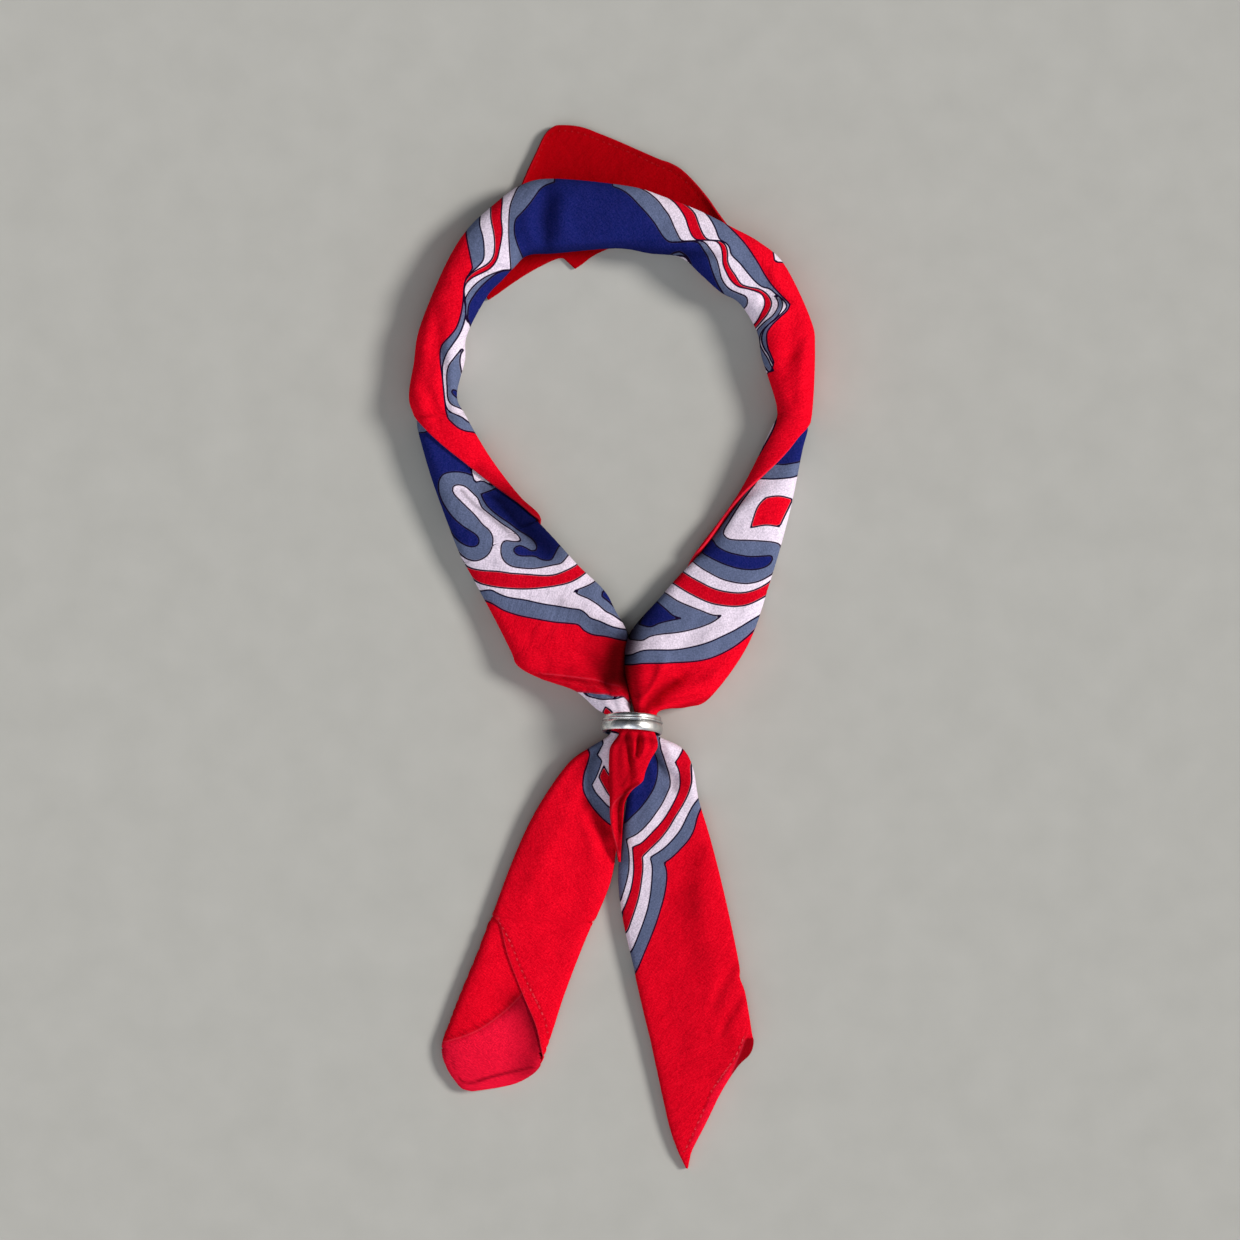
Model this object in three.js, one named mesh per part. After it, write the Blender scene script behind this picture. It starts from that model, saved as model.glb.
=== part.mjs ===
// A cotton neckerchief rolled into a band, its two ends drawn through a metal slide ring.
// It lies flat on a surface: X to the right, Y towards the back of the neck, Z up, millimetres.
// Every rolled piece is one wound wall: a strip of folded cloth that turns once round a hollow
// and laps over its own beginning, so a section has an inner end and a free edge, the flap.
import * as THREE from "three";

// Cloth
const WALL = 1.4;              // folded layers pressed together, one wall of the roll
const WINDING_GAP = 0.45;      // air between the flap and the winding that it lies on
const LAP = 110;               // degrees that the winding goes on under the flap
const DIP = 50;                // degrees over which the winding sinks to pass under the flap
const NARROW_SHARE = 0.17;     // a wall is never thicker than this share of its section
const FLATTENED = 1.12;        // how far the underside is pressed against what carries it
const ROLL_SQUARENESS = 2.5;   // 2 is an ellipse, higher is a flatter band
const TAIL_SQUARENESS = 3.2;

// Sections along each piece and points round each section
const ROLL_STEPS = 2;
const ROLL_POINTS = 20;
const TAIL_STEPS = 1;
const TAIL_POINTS = 17;
const PLEAT_STEPS = 2;
const PLEAT_POINTS = 12;
const EDGE_STEPS = 6;          // more sections where the free edge crosses the band

// Slide ring, its bore along Y
const RING_OUTER_RADIUS = 11.5;
const RING_BORE_RADIUS = 9.9;
const RING_CENTRE_X = 7.4;
const RING_FRONT_Y = -31.0;
const RING_LENGTH = 6.2;
const RING_COLLAR_LENGTH = 1.7;
const RING_STEP = 0.45;
const RING_SIDES = 32;

// Corner sheet under the roll
const CORNER_SHEET = 1.2;
const CORNER_BEVEL = 0.2;

// Each row is one section, from the outer side of the band to its inner side. floor is how high
// it lies, height how tall it is, edge where the flap's free edge lies across the band (0 is the
// outer side, 1 the inner side, below 0 and above 1 are tucked under), gather the depth of the
// pleats on its upper side.
const SECTION = ["outX", "outY", "inX", "inY", "floor", "height", "edge", "gather"];

const NECK_ROLL = table(SECTION, [
  [-1.3, -27.8, 6.9, -27.8, 4.7, 13.6, 1.15, 0],
  [-1.4, -24.3, 6.9, -23.6, 4.6, 13.8, 1.15, 0.1],
  [-5.0, -21.0, 5.2, -16.9, 2.6, 14.4, 1.15, 0.5],
  [-13.3, -15.8, 3.4, -9.0, 0.8, 13.4, 1.15, 0.8],
  [-25.6, -11.5, 4.3, 2.5, 0, 12.2, 1.15, 0.6],
  [-36.2, -2.2, -2.9, 20.5, 0, 11.0, 1.15, 0.3],
  [-42.1, 9.7, -12.6, 29.9, 0, 10.4, 1.1, 0],
  [-54.4, 32.4, -26.6, 48.2, 0, 10.6, 0.96, 0],
  [-58.7, 43.2, -33.8, 55.1, 0, 11.0, 0.91, 0],
  [-65.5, 62.3, -43.9, 68.4, 0, 12.0, 0.6, 0],
  [-70.9, 81.7, -52.6, 83.2, 0, 13.4, 0.02, 0],
  [-73.1, 90.0, -55.8, 90.7, 0, 14.0, -0.06, 0],
  [-71.3, 102.2, -52.9, 103.3, 0, 14.4, -0.12, 0],
  [-69.1, 115.2, -52.2, 112.3, 0, 14.6, -0.12, 0],
  [-59.8, 137.5, -45.0, 126.0, 1.0, 14.6, -0.12, 0],
  [-52.2, 149.8, -39.6, 131.8, 1.7, 14.4, -0.12, 0],
  [-43.2, 158.4, -35.3, 136.4, 1.7, 14.4, -0.12, 0],
  [-32.8, 166.0, -30.2, 140.8, 1.7, 14.6, -0.12, 0],
  [-20.5, 168.3, -20.5, 141.5, 1.7, 15.0, -0.12, 0],
  [5.8, 165.6, 1.4, 143.3, 1.7, 15.4, -0.12, 0],
  [31.7, 156.6, 25.9, 142.2, 1.7, 15.2, -0.12, 0],
  [42.5, 151.2, 32.0, 133.9, 1.7, 14.8, -0.12, 0],
  [53.3, 145.4, 38.9, 127.8, 1.0, 14.6, -0.12, 0],
  [62.3, 137.2, 46.1, 123.5, 0, 14.6, -0.12, 0],
  [71.6, 117.7, 52.2, 113.4, 0, 14.4, -0.12, 0],
  [73.1, 106.9, 54.0, 104.0, 0, 14.2, -0.12, 0],
  [72.0, 83.5, 59.4, 86.0, 0, 13.4, -0.04, 0],
  [68.8, 71.6, 56.9, 77.8, 0, 12.8, 0.25, 0],
  [64.1, 48.6, 46.1, 56.2, 0, 11.4, 0.93, 0],
  [57.2, 24.1, 32.0, 36.7, 0, 10.6, 0.98, 0],
  [49.0, 0.7, 19.4, 20.2, 0, 11.0, 1.12, 0.3],
  [35.6, -18.0, 9.0, 4.7, 0, 12.4, 1.15, 0.7],
  [27.4, -21.6, 4.7, -5.4, 0.6, 13.4, 1.15, 0.9],
  [19.4, -22.3, 6.0, -15.8, 2.4, 14.4, 1.15, 0.5],
  [16.2, -23.9, 7.9, -23.2, 4.6, 13.8, 1.15, 0.1],
  [16.1, -27.8, 7.9, -27.8, 4.7, 13.6, 1.15, 0],
]);

const LEFT_TAIL = table(SECTION, [
  [-0.6, -28.1, 6.9, -28.1, 5.2, 8.0, -0.12, 0],
  [-0.9, -31.6, 6.9, -32.2, 4.6, 8.6, -0.12, 0.1],
  [-8.3, -36.4, 6.1, -39.6, 1.0, 10.2, -0.12, 0.5],
  [-14.8, -41.0, 4.0, -48.6, 0, 9.2, -0.12, 0.6],
  [-21.6, -49.7, 2.5, -59.4, 0, 7.8, -0.12, 0.4],
  [-29.2, -62.3, 1.8, -71.3, 0, 6.6, -0.12, 0],
  [-36.0, -77.4, -0.4, -84.6, 0, 6.0, -0.12, 0],
  [-42.1, -93.6, -5.4, -97.2, 0, 5.8, -0.06, 0],
  [-48.6, -110.2, -11.9, -111.6, 0, 5.6, 0.33, 0],
  [-54.4, -124.2, -17.3, -126.0, 0, 5.4, 0.63, 0],
  [-58.3, -134.3, -20.9, -137.2, 0, 5.2, 0.83, 0],
  [-61.6, -144.4, -23.8, -145.1, 0, 5.0, 0.97, 0],
  [-59.0, -152.6, -26.3, -151.6, 0, 4.6, 1.05, 0],
  [-54.4, -159.7, -30.6, -155.2, 0, 4.0, 1.05, 0],
]);

const RIGHT_TAIL = table(SECTION, [
  [15.4, -28.1, 7.9, -28.1, 5.2, 8.0, -0.12, 0],
  [15.8, -31.6, 8.0, -32.3, 4.6, 8.6, -0.12, 0.1],
  [25.2, -36.4, 7.6, -40.7, 1.0, 10.2, -0.12, 0.5],
  [29.2, -43.6, 6.1, -49.7, 0, 9.2, -0.12, 0.6],
  [31.3, -55.1, 4.7, -60.5, 0, 7.8, -0.12, 0.4],
  [34.9, -67.0, 3.2, -71.3, 0, 6.8, -0.12, 0],
  [38.9, -82.1, 2.2, -83.9, 0, 6.2, -0.12, 0],
  [42.8, -99.0, 4.0, -99.0, 0, 6.0, -0.12, 0],
  [47.5, -121.7, 9.0, -121.7, 0, 5.8, -0.12, 0],
  [49.7, -132.5, 11.5, -132.5, 0, 5.6, -0.12, 0],
  [50.9, -144.0, 14.4, -143.3, 0, 5.4, -0.12, 0],
  [45.4, -151.6, 16.2, -153.0, 0, 5.0, -0.12, 0],
  [39.6, -160.6, 18.4, -163.1, 0, 4.6, -0.12, 0],
  [33.8, -172.4, 20.9, -173.9, 0, 4.0, -0.12, 0],
  [29.2, -181.4, 23.8, -182.2, 0, 3.4, -0.12, 0],
  [27.5, -188.5, 24.8, -187.9, 0, 2.6, -0.12, 0],
]);

// The pleat's outer side is its fold over the left tail, its inner side the one over the right.
const CENTRE_PLEAT = table(SECTION, [
  [2.4, -28.1, 12.4, -28.1, 13.7, 5.4, -0.12, 0],
  [2.2, -31.9, 13.2, -31.9, 13.8, 5.2, -0.12, 0],
  [-0.4, -36.6, 15.8, -37.1, 13.2, 4.8, -0.12, 0],
  [-0.7, -43.6, 12.2, -43.9, 11.6, 4.4, -0.12, 0],
  [-1.1, -49.3, 11.2, -50.0, 10.2, 4.2, -0.12, 0],
  [-2.5, -54.4, 5.0, -54.4, 9.2, 4.0, -0.12, 0],
  [-4.0, -59.4, 0.7, -60.1, 8.4, 3.8, -0.12, 0],
  [-3.2, -67.0, 1.1, -67.7, 7.6, 3.2, -0.12, 0],
  [-1.4, -75.2, 2.2, -76.3, 7.0, 2.4, -0.12, 0],
]);

// Outline of the corner sheet, seen from above, from its point round to the side under the roll
const BACK_CORNER = table(["x", "y"], [
  [-32.8, 166.0], [-29.5, 173.5], [-25.9, 181.8], [-22.3, 186.8], [-18.7, 188.5],
  [-9.7, 187.6], [2.9, 182.5], [18.0, 176.0], [28.1, 169.6], [33.8, 163.1],
  [42.5, 151.2], [36.0, 144.5], [27.0, 138.8], [21.6, 139.7], [10.1, 146.5],
  [-2.9, 142.6], [-13.3, 136.8], [-18.0, 140.4], [-27.7, 136.4], [-36.0, 131.8],
  [-39.0, 137.0], [-38.2, 153.0],
]);

const PRINTED_COTTON = { color: "#b8121f", roughness: 0.9, metalness: 0 };
const POLISHED_STEEL = { color: "#c9ccd0", roughness: 0.2, metalness: 1 };

function table(columns, rows) {
  return rows.map((row) => Object.fromEntries(columns.map((column, i) => [column, row[i]])));
}

// A smooth curve through the values of one column, between the second and third of four
function throughFour(before, from, to, after, share) {
  const pull = (to - before) / 2;
  const push = (after - from) / 2;
  const square = share * share;
  const cube = square * share;
  return (2 * cube - 3 * square + 1) * from + (cube - 2 * square + share) * pull
    + (3 * square - 2 * cube) * to + (cube - square) * push;
}

// Adds sections between the rows of a table
function refined(rows, steps) {
  const at = (i) => rows[Math.min(Math.max(i, 0), rows.length - 1)];
  const sections = [];
  for (let i = 0; i < rows.length - 1; i += 1) {
    const crossing = Math.abs(at(i + 1).edge - at(i).edge);
    const count = steps + Math.round(crossing * EDGE_STEPS);
    for (let step = 0; step < count; step += 1) {
      const section = {};
      for (const column of SECTION) {
        section[column] = throughFour(
          at(i - 1)[column], at(i)[column], at(i + 1)[column], at(i + 2)[column], step / count);
      }
      section.floor = Math.max(section.floor, 0);
      sections.push(section);
    }
  }
  sections.push(rows[rows.length - 1]);
  return sections;
}

const eased = (share) => THREE.MathUtils.smoothstep(share, 0, 1);
const signedPower = (value, exponent) => Math.sign(value) * Math.abs(value) ** exponent;

// Where the winding starts, as an angle: 0 is the outer side, 90 the top, 180 the inner side
function flapAngle(edge, squareness) {
  const tuckedDegrees = 400;
  if (edge < 0) {
    return THREE.MathUtils.degToRad(edge * tuckedDegrees);
  }
  if (edge > 1) {
    return Math.PI + THREE.MathUtils.degToRad((edge - 1) * tuckedDegrees);
  }
  return Math.acos(signedPower(1 - 2 * edge, squareness / 2));
}

// One wound section: its middle line, from the flap's free edge inwards
function woundLine(section, width, wall, squareness, points) {
  const pitch = wall + WINDING_GAP * (wall / WALL);
  const start = flapAngle(section.edge, squareness);
  const lap = THREE.MathUtils.degToRad(LAP);
  const dip = THREE.MathUtils.degToRad(DIP);
  const turn = 2 * Math.PI;
  const line = [];
  for (let i = 0; i < points; i += 1) {
    const wound = ((turn + lap) * i) / (points - 1);
    const under = pitch * eased((wound - turn + dip) / dip);
    const across = signedPower(Math.cos(start + wound), 2 / squareness);
    const up = signedPower(Math.sin(start + wound), 2 / squareness);
    const halfWidth = (width - wall) / 2 - under;
    const halfHeight = (section.height - wall) / 2 - under;
    const pressed = up < 0 ? Math.max(up * FLATTENED, -1) : up;
    const pleats = section.gather * Math.max(up, 0) * Math.cos(across * Math.PI * 3);
    line.push(new THREE.Vector2(
      width / 2 + across * halfWidth,
      section.height / 2 + pressed * halfHeight - pleats * 0.5));
  }
  return line;
}

// The two sides of a wall round its middle line
function wallSides(line, wall) {
  const outside = [];
  const inside = [];
  line.forEach((point, i) => {
    const before = line[Math.max(i - 1, 0)];
    const after = line[Math.min(i + 1, line.length - 1)];
    const along = after.clone().sub(before).normalize();
    const outwards = new THREE.Vector2(along.y, -along.x).multiplyScalar(wall / 2);
    outside.push(point.clone().add(outwards));
    inside.push(point.clone().sub(outwards));
  });
  return outside.concat(inside.reverse());
}

// Sweeps the wound section through all sections of a table and closes both ends
function woundPiece(rows, steps, points, squareness) {
  const sections = refined(rows, steps);
  const positions = [];
  for (const section of sections) {
    const inner = new THREE.Vector3(section.inX, section.inY, section.floor);
    const outer = new THREE.Vector3(section.outX, section.outY, section.floor);
    const width = inner.distanceTo(outer);
    const across = outer.clone().sub(inner).normalize();
    const wall = Math.min(WALL, width * NARROW_SHARE, section.height * NARROW_SHARE);
    const line = woundLine(section, width, wall, squareness, points);
    for (const point of wallSides(line, wall)) {
      const place = inner.clone().addScaledVector(across, point.x);
      positions.push(place.x, place.y, place.z + point.y);
    }
  }
  const around = 2 * points;
  const faces = [];
  const corner = (i) => new THREE.Vector3().fromArray(positions, 3 * i);
  const quad = (a, b, c, d) => {
    const alongFirst = corner(a).distanceTo(corner(c)) <= corner(b).distanceTo(corner(d));
    faces.push(...(alongFirst ? [a, b, c, a, c, d] : [b, c, d, b, d, a]));
  };
  for (let i = 0; i < sections.length - 1; i += 1) {
    for (let j = 0; j < around; j += 1) {
      const next = (j + 1) % around;
      quad(i * around + j, i * around + next, (i + 1) * around + next, (i + 1) * around + j);
    }
  }
  const last = (sections.length - 1) * around;
  for (let j = 0; j < points - 1; j += 1) {
    const far = around - 1 - j;
    quad(far, far - 1, j + 1, j);
    quad(last + j, last + j + 1, last + far - 1, last + far);
  }
  return facingOut(positions, faces);
}

// A closed body from its points and triangles, turned so that its faces point out
function facingOut(positions, faces) {
  const corner = (i) => new THREE.Vector3().fromArray(positions, 3 * i);
  let volume = 0;
  for (let i = 0; i < faces.length; i += 3) {
    const [a, b, c] = [corner(faces[i]), corner(faces[i + 1]), corner(faces[i + 2])];
    volume += a.dot(b.cross(c));
  }
  const geometry = new THREE.BufferGeometry();
  geometry.setAttribute("position", new THREE.Float32BufferAttribute(positions, 3));
  geometry.setIndex(volume < 0 ? faces.reverse() : faces);
  geometry.computeVertexNormals();
  return geometry;
}

function backCorner() {
  const outline = new THREE.Shape(BACK_CORNER.map(({ x, y }) => new THREE.Vector2(x, y)));
  return new THREE.ExtrudeGeometry(outline, {
    depth: CORNER_SHEET - 2 * CORNER_BEVEL,
    bevelEnabled: true,
    bevelThickness: CORNER_BEVEL,
    bevelSize: CORNER_BEVEL,
    bevelOffset: -CORNER_BEVEL,
    bevelSegments: 1,
    steps: 1,
  }).translate(0, 0, CORNER_BEVEL);
}

// A collar, a fine step and a rounded band, turned round the bore
function slideRing() {
  const band = RING_LENGTH - RING_COLLAR_LENGTH;
  const shoulder = RING_OUTER_RADIUS - RING_STEP;
  const profile = [
    new THREE.Vector2(RING_BORE_RADIUS, 0),
    new THREE.Vector2(shoulder, 0),
  ];
  const arcPoints = 5;
  for (let i = 0; i <= arcPoints; i += 1) {
    const turn = (Math.PI * i) / arcPoints;
    profile.push(new THREE.Vector2(
      shoulder + RING_STEP * signedPower(Math.sin(turn), 0.7),
      (band * (1 - Math.cos(turn))) / 2 + 0.1));
  }
  profile.push(
    new THREE.Vector2(shoulder, RING_LENGTH),
    new THREE.Vector2(RING_BORE_RADIUS, RING_LENGTH),
    new THREE.Vector2(RING_BORE_RADIUS, 0),
  );
  return new THREE.LatheGeometry(profile, RING_SIDES);
}

function piece(name, geometry, finish) {
  const mesh = new THREE.Mesh(geometry, new THREE.MeshStandardMaterial(finish));
  mesh.name = name;
  return mesh;
}

const cloth = new THREE.Group();
cloth.add(
  piece("neck_roll", woundPiece(NECK_ROLL, ROLL_STEPS, ROLL_POINTS, ROLL_SQUARENESS),
    PRINTED_COTTON),
  piece("left_tail", woundPiece(LEFT_TAIL, TAIL_STEPS, TAIL_POINTS, TAIL_SQUARENESS),
    PRINTED_COTTON),
  piece("right_tail", woundPiece(RIGHT_TAIL, TAIL_STEPS, TAIL_POINTS, TAIL_SQUARENESS),
    PRINTED_COTTON),
  piece("centre_pleat", woundPiece(CENTRE_PLEAT, PLEAT_STEPS, PLEAT_POINTS, TAIL_SQUARENESS),
    PRINTED_COTTON),
  piece("back_corner", backCorner(), PRINTED_COTTON),
);

const ring = piece("slide_ring", slideRing(), POLISHED_STEEL);
ring.position.set(RING_CENTRE_X, RING_FRONT_Y, RING_OUTER_RADIUS);

const neckerchief = new THREE.Group();
neckerchief.add(cloth, ring);

export default neckerchief;
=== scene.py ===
# A rolled cotton neckerchief with a metal slide ring, lying flat and seen from straight above.
# X to the right, Y towards the back of the neck, Z up. Tables and drawings are in millimetres or
# in drawing units, the meshes in metres.
import math

import bpy
import numpy as np
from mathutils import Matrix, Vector, noise


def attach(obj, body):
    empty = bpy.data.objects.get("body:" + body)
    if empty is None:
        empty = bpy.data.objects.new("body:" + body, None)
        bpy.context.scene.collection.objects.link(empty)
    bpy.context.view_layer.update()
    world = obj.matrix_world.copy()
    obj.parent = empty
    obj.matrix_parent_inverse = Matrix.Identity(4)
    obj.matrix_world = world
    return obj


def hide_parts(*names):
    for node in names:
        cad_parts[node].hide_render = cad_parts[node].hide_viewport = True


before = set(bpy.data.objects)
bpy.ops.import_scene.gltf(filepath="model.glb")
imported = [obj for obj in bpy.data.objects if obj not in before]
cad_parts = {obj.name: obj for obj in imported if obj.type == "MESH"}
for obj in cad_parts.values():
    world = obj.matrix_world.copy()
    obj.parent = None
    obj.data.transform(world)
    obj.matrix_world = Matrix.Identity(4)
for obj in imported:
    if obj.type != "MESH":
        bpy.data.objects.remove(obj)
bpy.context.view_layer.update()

MM = 0.001
UNIT = 0.36                    # millimetres to one unit of the drawings below
CENTRE = (612.0, 647.0)        # the drawings' point that lies at the origin, y running down

# Cloth, in millimetres and degrees
WALL = 1.4                     # the pressed layers of one wall
WINDING_GAP = 0.22             # air between the flap and the winding that it lies on
LAP = 110                      # how far the winding goes on under the flap
DIP = 50                       # the turn over which it sinks to pass under the flap
NARROW_SHARE = 0.14            # a wall is never thicker than this share of its section
FLATTENED = 1.12               # how far the underside is pressed against what carries it
TUCKED_DEGREES = 400           # the turn of an edge that is tucked under by a whole width
ROLL_SQUARENESS = 2.5          # 2 is an ellipse, higher is a flatter band
TAIL_SQUARENESS = 3.2
GATHERED_SQUARER = 1.6         # added to it where the cloth is gathered
PLEATS = 3                     # across a gathered section
RIM_SHARES = np.array([0.0, 0.12, 0.4, 0.75])    # places round a free edge, in half walls
THIN_RIM = 0.12                # a free edge's half thickness, in half walls
FINE_STEPS = 900               # round a winding, before its points are chosen
CURVE_STEPS = 4                # from one point of a drawn line to the next
LOWEST = 0.05                  # how high the cloth stays over the floor
STEP_WIDTH = 0.5               # of the slope beside a folded edge
TINT_BLUR = 0.6                # of the edge of a tinted patch
FAR_OUTSIDE = -8.0             # a print distance that paints nothing
FAR_SEAM = 20.0                # a seam distance that shows nothing
TINY = 1e-9

# Columns of the tables of sections, and the edge and gather of the rows that leave them out
FLOOR, HEIGHT, EDGE, GATHER = 4, 5, 6, 7
USUAL_EDGE_AND_GATHER = (-0.12, 0)

# outX, outY, inX, inY, floor, height, edge, gather: one section of a rolled piece a row, from
# the outer side of the band to its inner side. edge is where the flap's free edge lies across
# the band, 0 at the outer side and 1 at the inner side, beyond them tucked under.
NECK_ROLL = [
    (-1.3, -27.8, 6.9, -27.8, 4.7, 13.6, 1.15, 0),
    (-2.3, -24.4, 6.9, -23.6, 4.6, 13.8, 1.15, 0.1),
    (-5.9, -22.0, 6.6, -16.9, 2.6, 14.4, 1.15, 0.5),
    (-13.3, -15.8, 6.0, -9.0, 0.8, 13.4, 1.15, 0.8),
    (-25.6, -11.5, 6.2, 3.2, 0, 12.2, 1.15, 0.6),
    (-33.8, -7.0, 1.2, 13.2, 0, 11.6, 1.15, 0.45),
    (-36.4, -1.6, -2.9, 20.5, 0, 11.0, 1.15, 0.3),
    (-42.1, 9.7, -12.6, 29.9, 0, 10.4, 1.15, 0),
    (-50.6, 25.6, -23.6, 42.6, 0, 10.4, 1.07, 0),
    (-54.4, 32.4, -26.6, 48.2, 0, 10.6, 0.96, 0),
    (-58.7, 43.2, -33.8, 55.1, 0, 11.0, 0.91, 0),
    (-65.5, 62.3, -43.9, 68.4, 0, 12.0, 0.6, 0),
    (-70.9, 81.7, -52.6, 83.2, 0, 13.4, 0.02, 0),
    (-73.1, 90.0, -55.8, 90.7, 0, 14.0, -0.06, 0),
    (-71.3, 102.2, -52.9, 103.3, 0, 14.4),
    (-69.1, 115.2, -52.2, 112.3, 0, 14.6),
    (-59.8, 137.5, -45.0, 126.0, 1.0, 14.6),
    (-52.2, 149.8, -39.6, 131.8, 1.7, 14.4),
    (-43.2, 158.4, -35.3, 136.4, 1.7, 14.4),
    (-32.8, 166.0, -30.2, 140.8, 1.7, 14.6),
    (-20.5, 168.3, -20.5, 141.5, 1.7, 15.0),
    (5.8, 165.6, 1.4, 143.3, 1.7, 15.4),
    (18.6, 161.8, 13.6, 141.5, 1.7, 15.3),
    (31.7, 156.6, 24.6, 140.1, 1.7, 15.2),
    (42.5, 151.2, 32.0, 133.9, 1.7, 14.8),
    (53.3, 145.4, 38.9, 127.8, 1.0, 14.6),
    (62.3, 137.2, 46.1, 123.5, 0, 14.6),
    (71.6, 117.7, 52.2, 113.4, 0, 14.4),
    (73.1, 106.9, 54.0, 104.0, 0, 14.2),
    (72.0, 83.5, 59.4, 86.0, 0, 13.4, -0.04, 0),
    (68.8, 71.6, 56.9, 77.8, 0, 12.8, 0.25, 0),
    (64.1, 48.6, 46.1, 56.2, 0, 11.4, 0.93, 0),
    (57.2, 24.1, 32.0, 36.7, 0, 10.6, 0.98, 0),
    (49.0, 0.7, 19.4, 20.2, 0, 11.0, 1.12, 0.3),
    (35.6, -18.0, 6.7, 5.4, 0, 12.4, 1.15, 0.7),
    (27.4, -21.6, 4.4, -5.4, 0.6, 13.4, 1.15, 0.9),
    (19.4, -22.3, 6.0, -15.8, 2.4, 14.4, 1.15, 0.5),
    (16.2, -23.9, 7.9, -23.2, 4.6, 13.8, 1.15, 0.1),
    (16.1, -27.8, 7.9, -27.8, 4.7, 13.6, 1.15, 0),
]
LEFT_TAIL = [
    (-0.6, -28.1, 6.9, -28.1, 5.2, 8.0),
    (-0.9, -31.6, 6.9, -32.2, 4.6, 8.6, -0.12, 0.1),
    (-8.3, -36.4, 6.1, -39.6, 1.0, 10.2, -0.12, 0.5),
    (-14.8, -41.0, 4.0, -48.6, 0, 9.2, -0.12, 0.6),
    (-21.6, -49.7, 2.5, -59.4, 0, 7.8, -0.12, 0.4),
    (-29.2, -62.3, 1.8, -71.3, 0, 6.6),
    (-36.0, -77.4, -0.4, -84.6, 0, 6.0),
    (-42.1, -93.6, -5.4, -97.2, 0, 5.8, -0.1, 0),
    (-44.6, -99.4, -7.7, -101.5, 0, 5.7, 0.1, 0),
    (-48.6, -110.2, -11.9, -111.6, 0, 5.6, 0.29, 0),
    (-54.4, -124.2, -17.3, -126.0, 0, 5.4, 0.6, 0),
    (-58.3, -134.3, -20.9, -137.2, 0, 5.2, 0.83, 0),
    (-61.6, -144.4, -23.9, -146.4, 0, 5.0, 0.97, 0),
    (-59.9, -151.6, -25.6, -151.8, 0, 4.6, 1.05, 0),
    (-56.5, -157.0, -28.8, -154.8, 0, 4.3, 1.05, 0),
    (-54.2, -159.5, -34.2, -157.6, 0, 3.9, 1.05, 0),
    (-51.0, -160.5, -40.3, -159.0, 0, 3.2, 1.05, 0),
]
RIGHT_TAIL = [
    (15.4, -28.1, 7.9, -28.1, 5.2, 8.0),
    (15.8, -31.6, 8.0, -32.3, 4.6, 8.6, -0.12, 0.1),
    (25.2, -36.4, 7.6, -40.7, 1.0, 10.2, -0.12, 0.5),
    (29.2, -43.6, 6.1, -49.7, 0, 9.2, -0.12, 0.6),
    (31.3, -55.1, 4.7, -60.5, 0, 7.8, -0.12, 0.4),
    (34.9, -67.0, 3.2, -71.3, 0, 6.8),
    (38.9, -82.1, 2.2, -83.9, 0, 6.2),
    (42.8, -99.0, 4.0, -99.0, 0, 6.0),
    (46.0, -115.0, 7.7, -115.0, 0, 5.9),
    (46.2, -119.4, 8.5, -119.4, 0, 5.8),
    (48.0, -124.4, 9.6, -124.4, 0, 5.7),
    (49.5, -132.5, 11.5, -132.5, 0, 5.6),
    (50.6, -139.6, 13.2, -139.4, 0, 5.5),
    (51.2, -142.8, 13.9, -142.2, 0, 5.4),
    (49.9, -147.0, 14.9, -147.0, 0, 5.3),
    (45.4, -151.6, 16.2, -153.0, 0, 5.0),
    (39.6, -160.6, 18.4, -163.1, 0, 4.6),
    (33.8, -172.4, 20.9, -173.9, 0, 4.0),
    (29.2, -181.4, 23.8, -182.2, 0, 3.4),
    (28.1, -185.2, 25.2, -185.2, 0, 2.9),
    (27.5, -188.5, 26.7, -188.4, 0, 1.8),
]
# The pleat's places across are in drawing units
CENTRE_PLEAT = [
    (620, 724, 648, 724, 13.9, 4.6, -0.12, 0.3),
    (619, 733, 655, 733, 14.0, 5.2, -0.12, 0.8),
    (610.5, 746, 657.5, 746, 13.0, 5.6, -0.12, 0.8),
    (609, 759, 650.5, 759, 11.8, 5.6, -0.12, 0.4),
    (609, 770, 645.5, 771, 10.8, 5.4, -0.12, 0.1),
    (609.3, 782, 642.5, 781, 9.8, 5.2),
    (609.6, 793, 632, 790, 9.0, 5.0),
    (609.8, 804, 625.5, 801, 8.2, 4.8),
    (610, 815, 623.5, 815, 7.4, 4.6),
    (611.5, 828, 622.5, 828, 6.4, 4.2),
    (614.5, 842, 621.8, 842, 5.6, 3.6),
    (617, 854, 621, 854, 5.0, 2.6),
    (618.2, 862, 620.8, 862, 4.6, 1.8),
]

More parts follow.
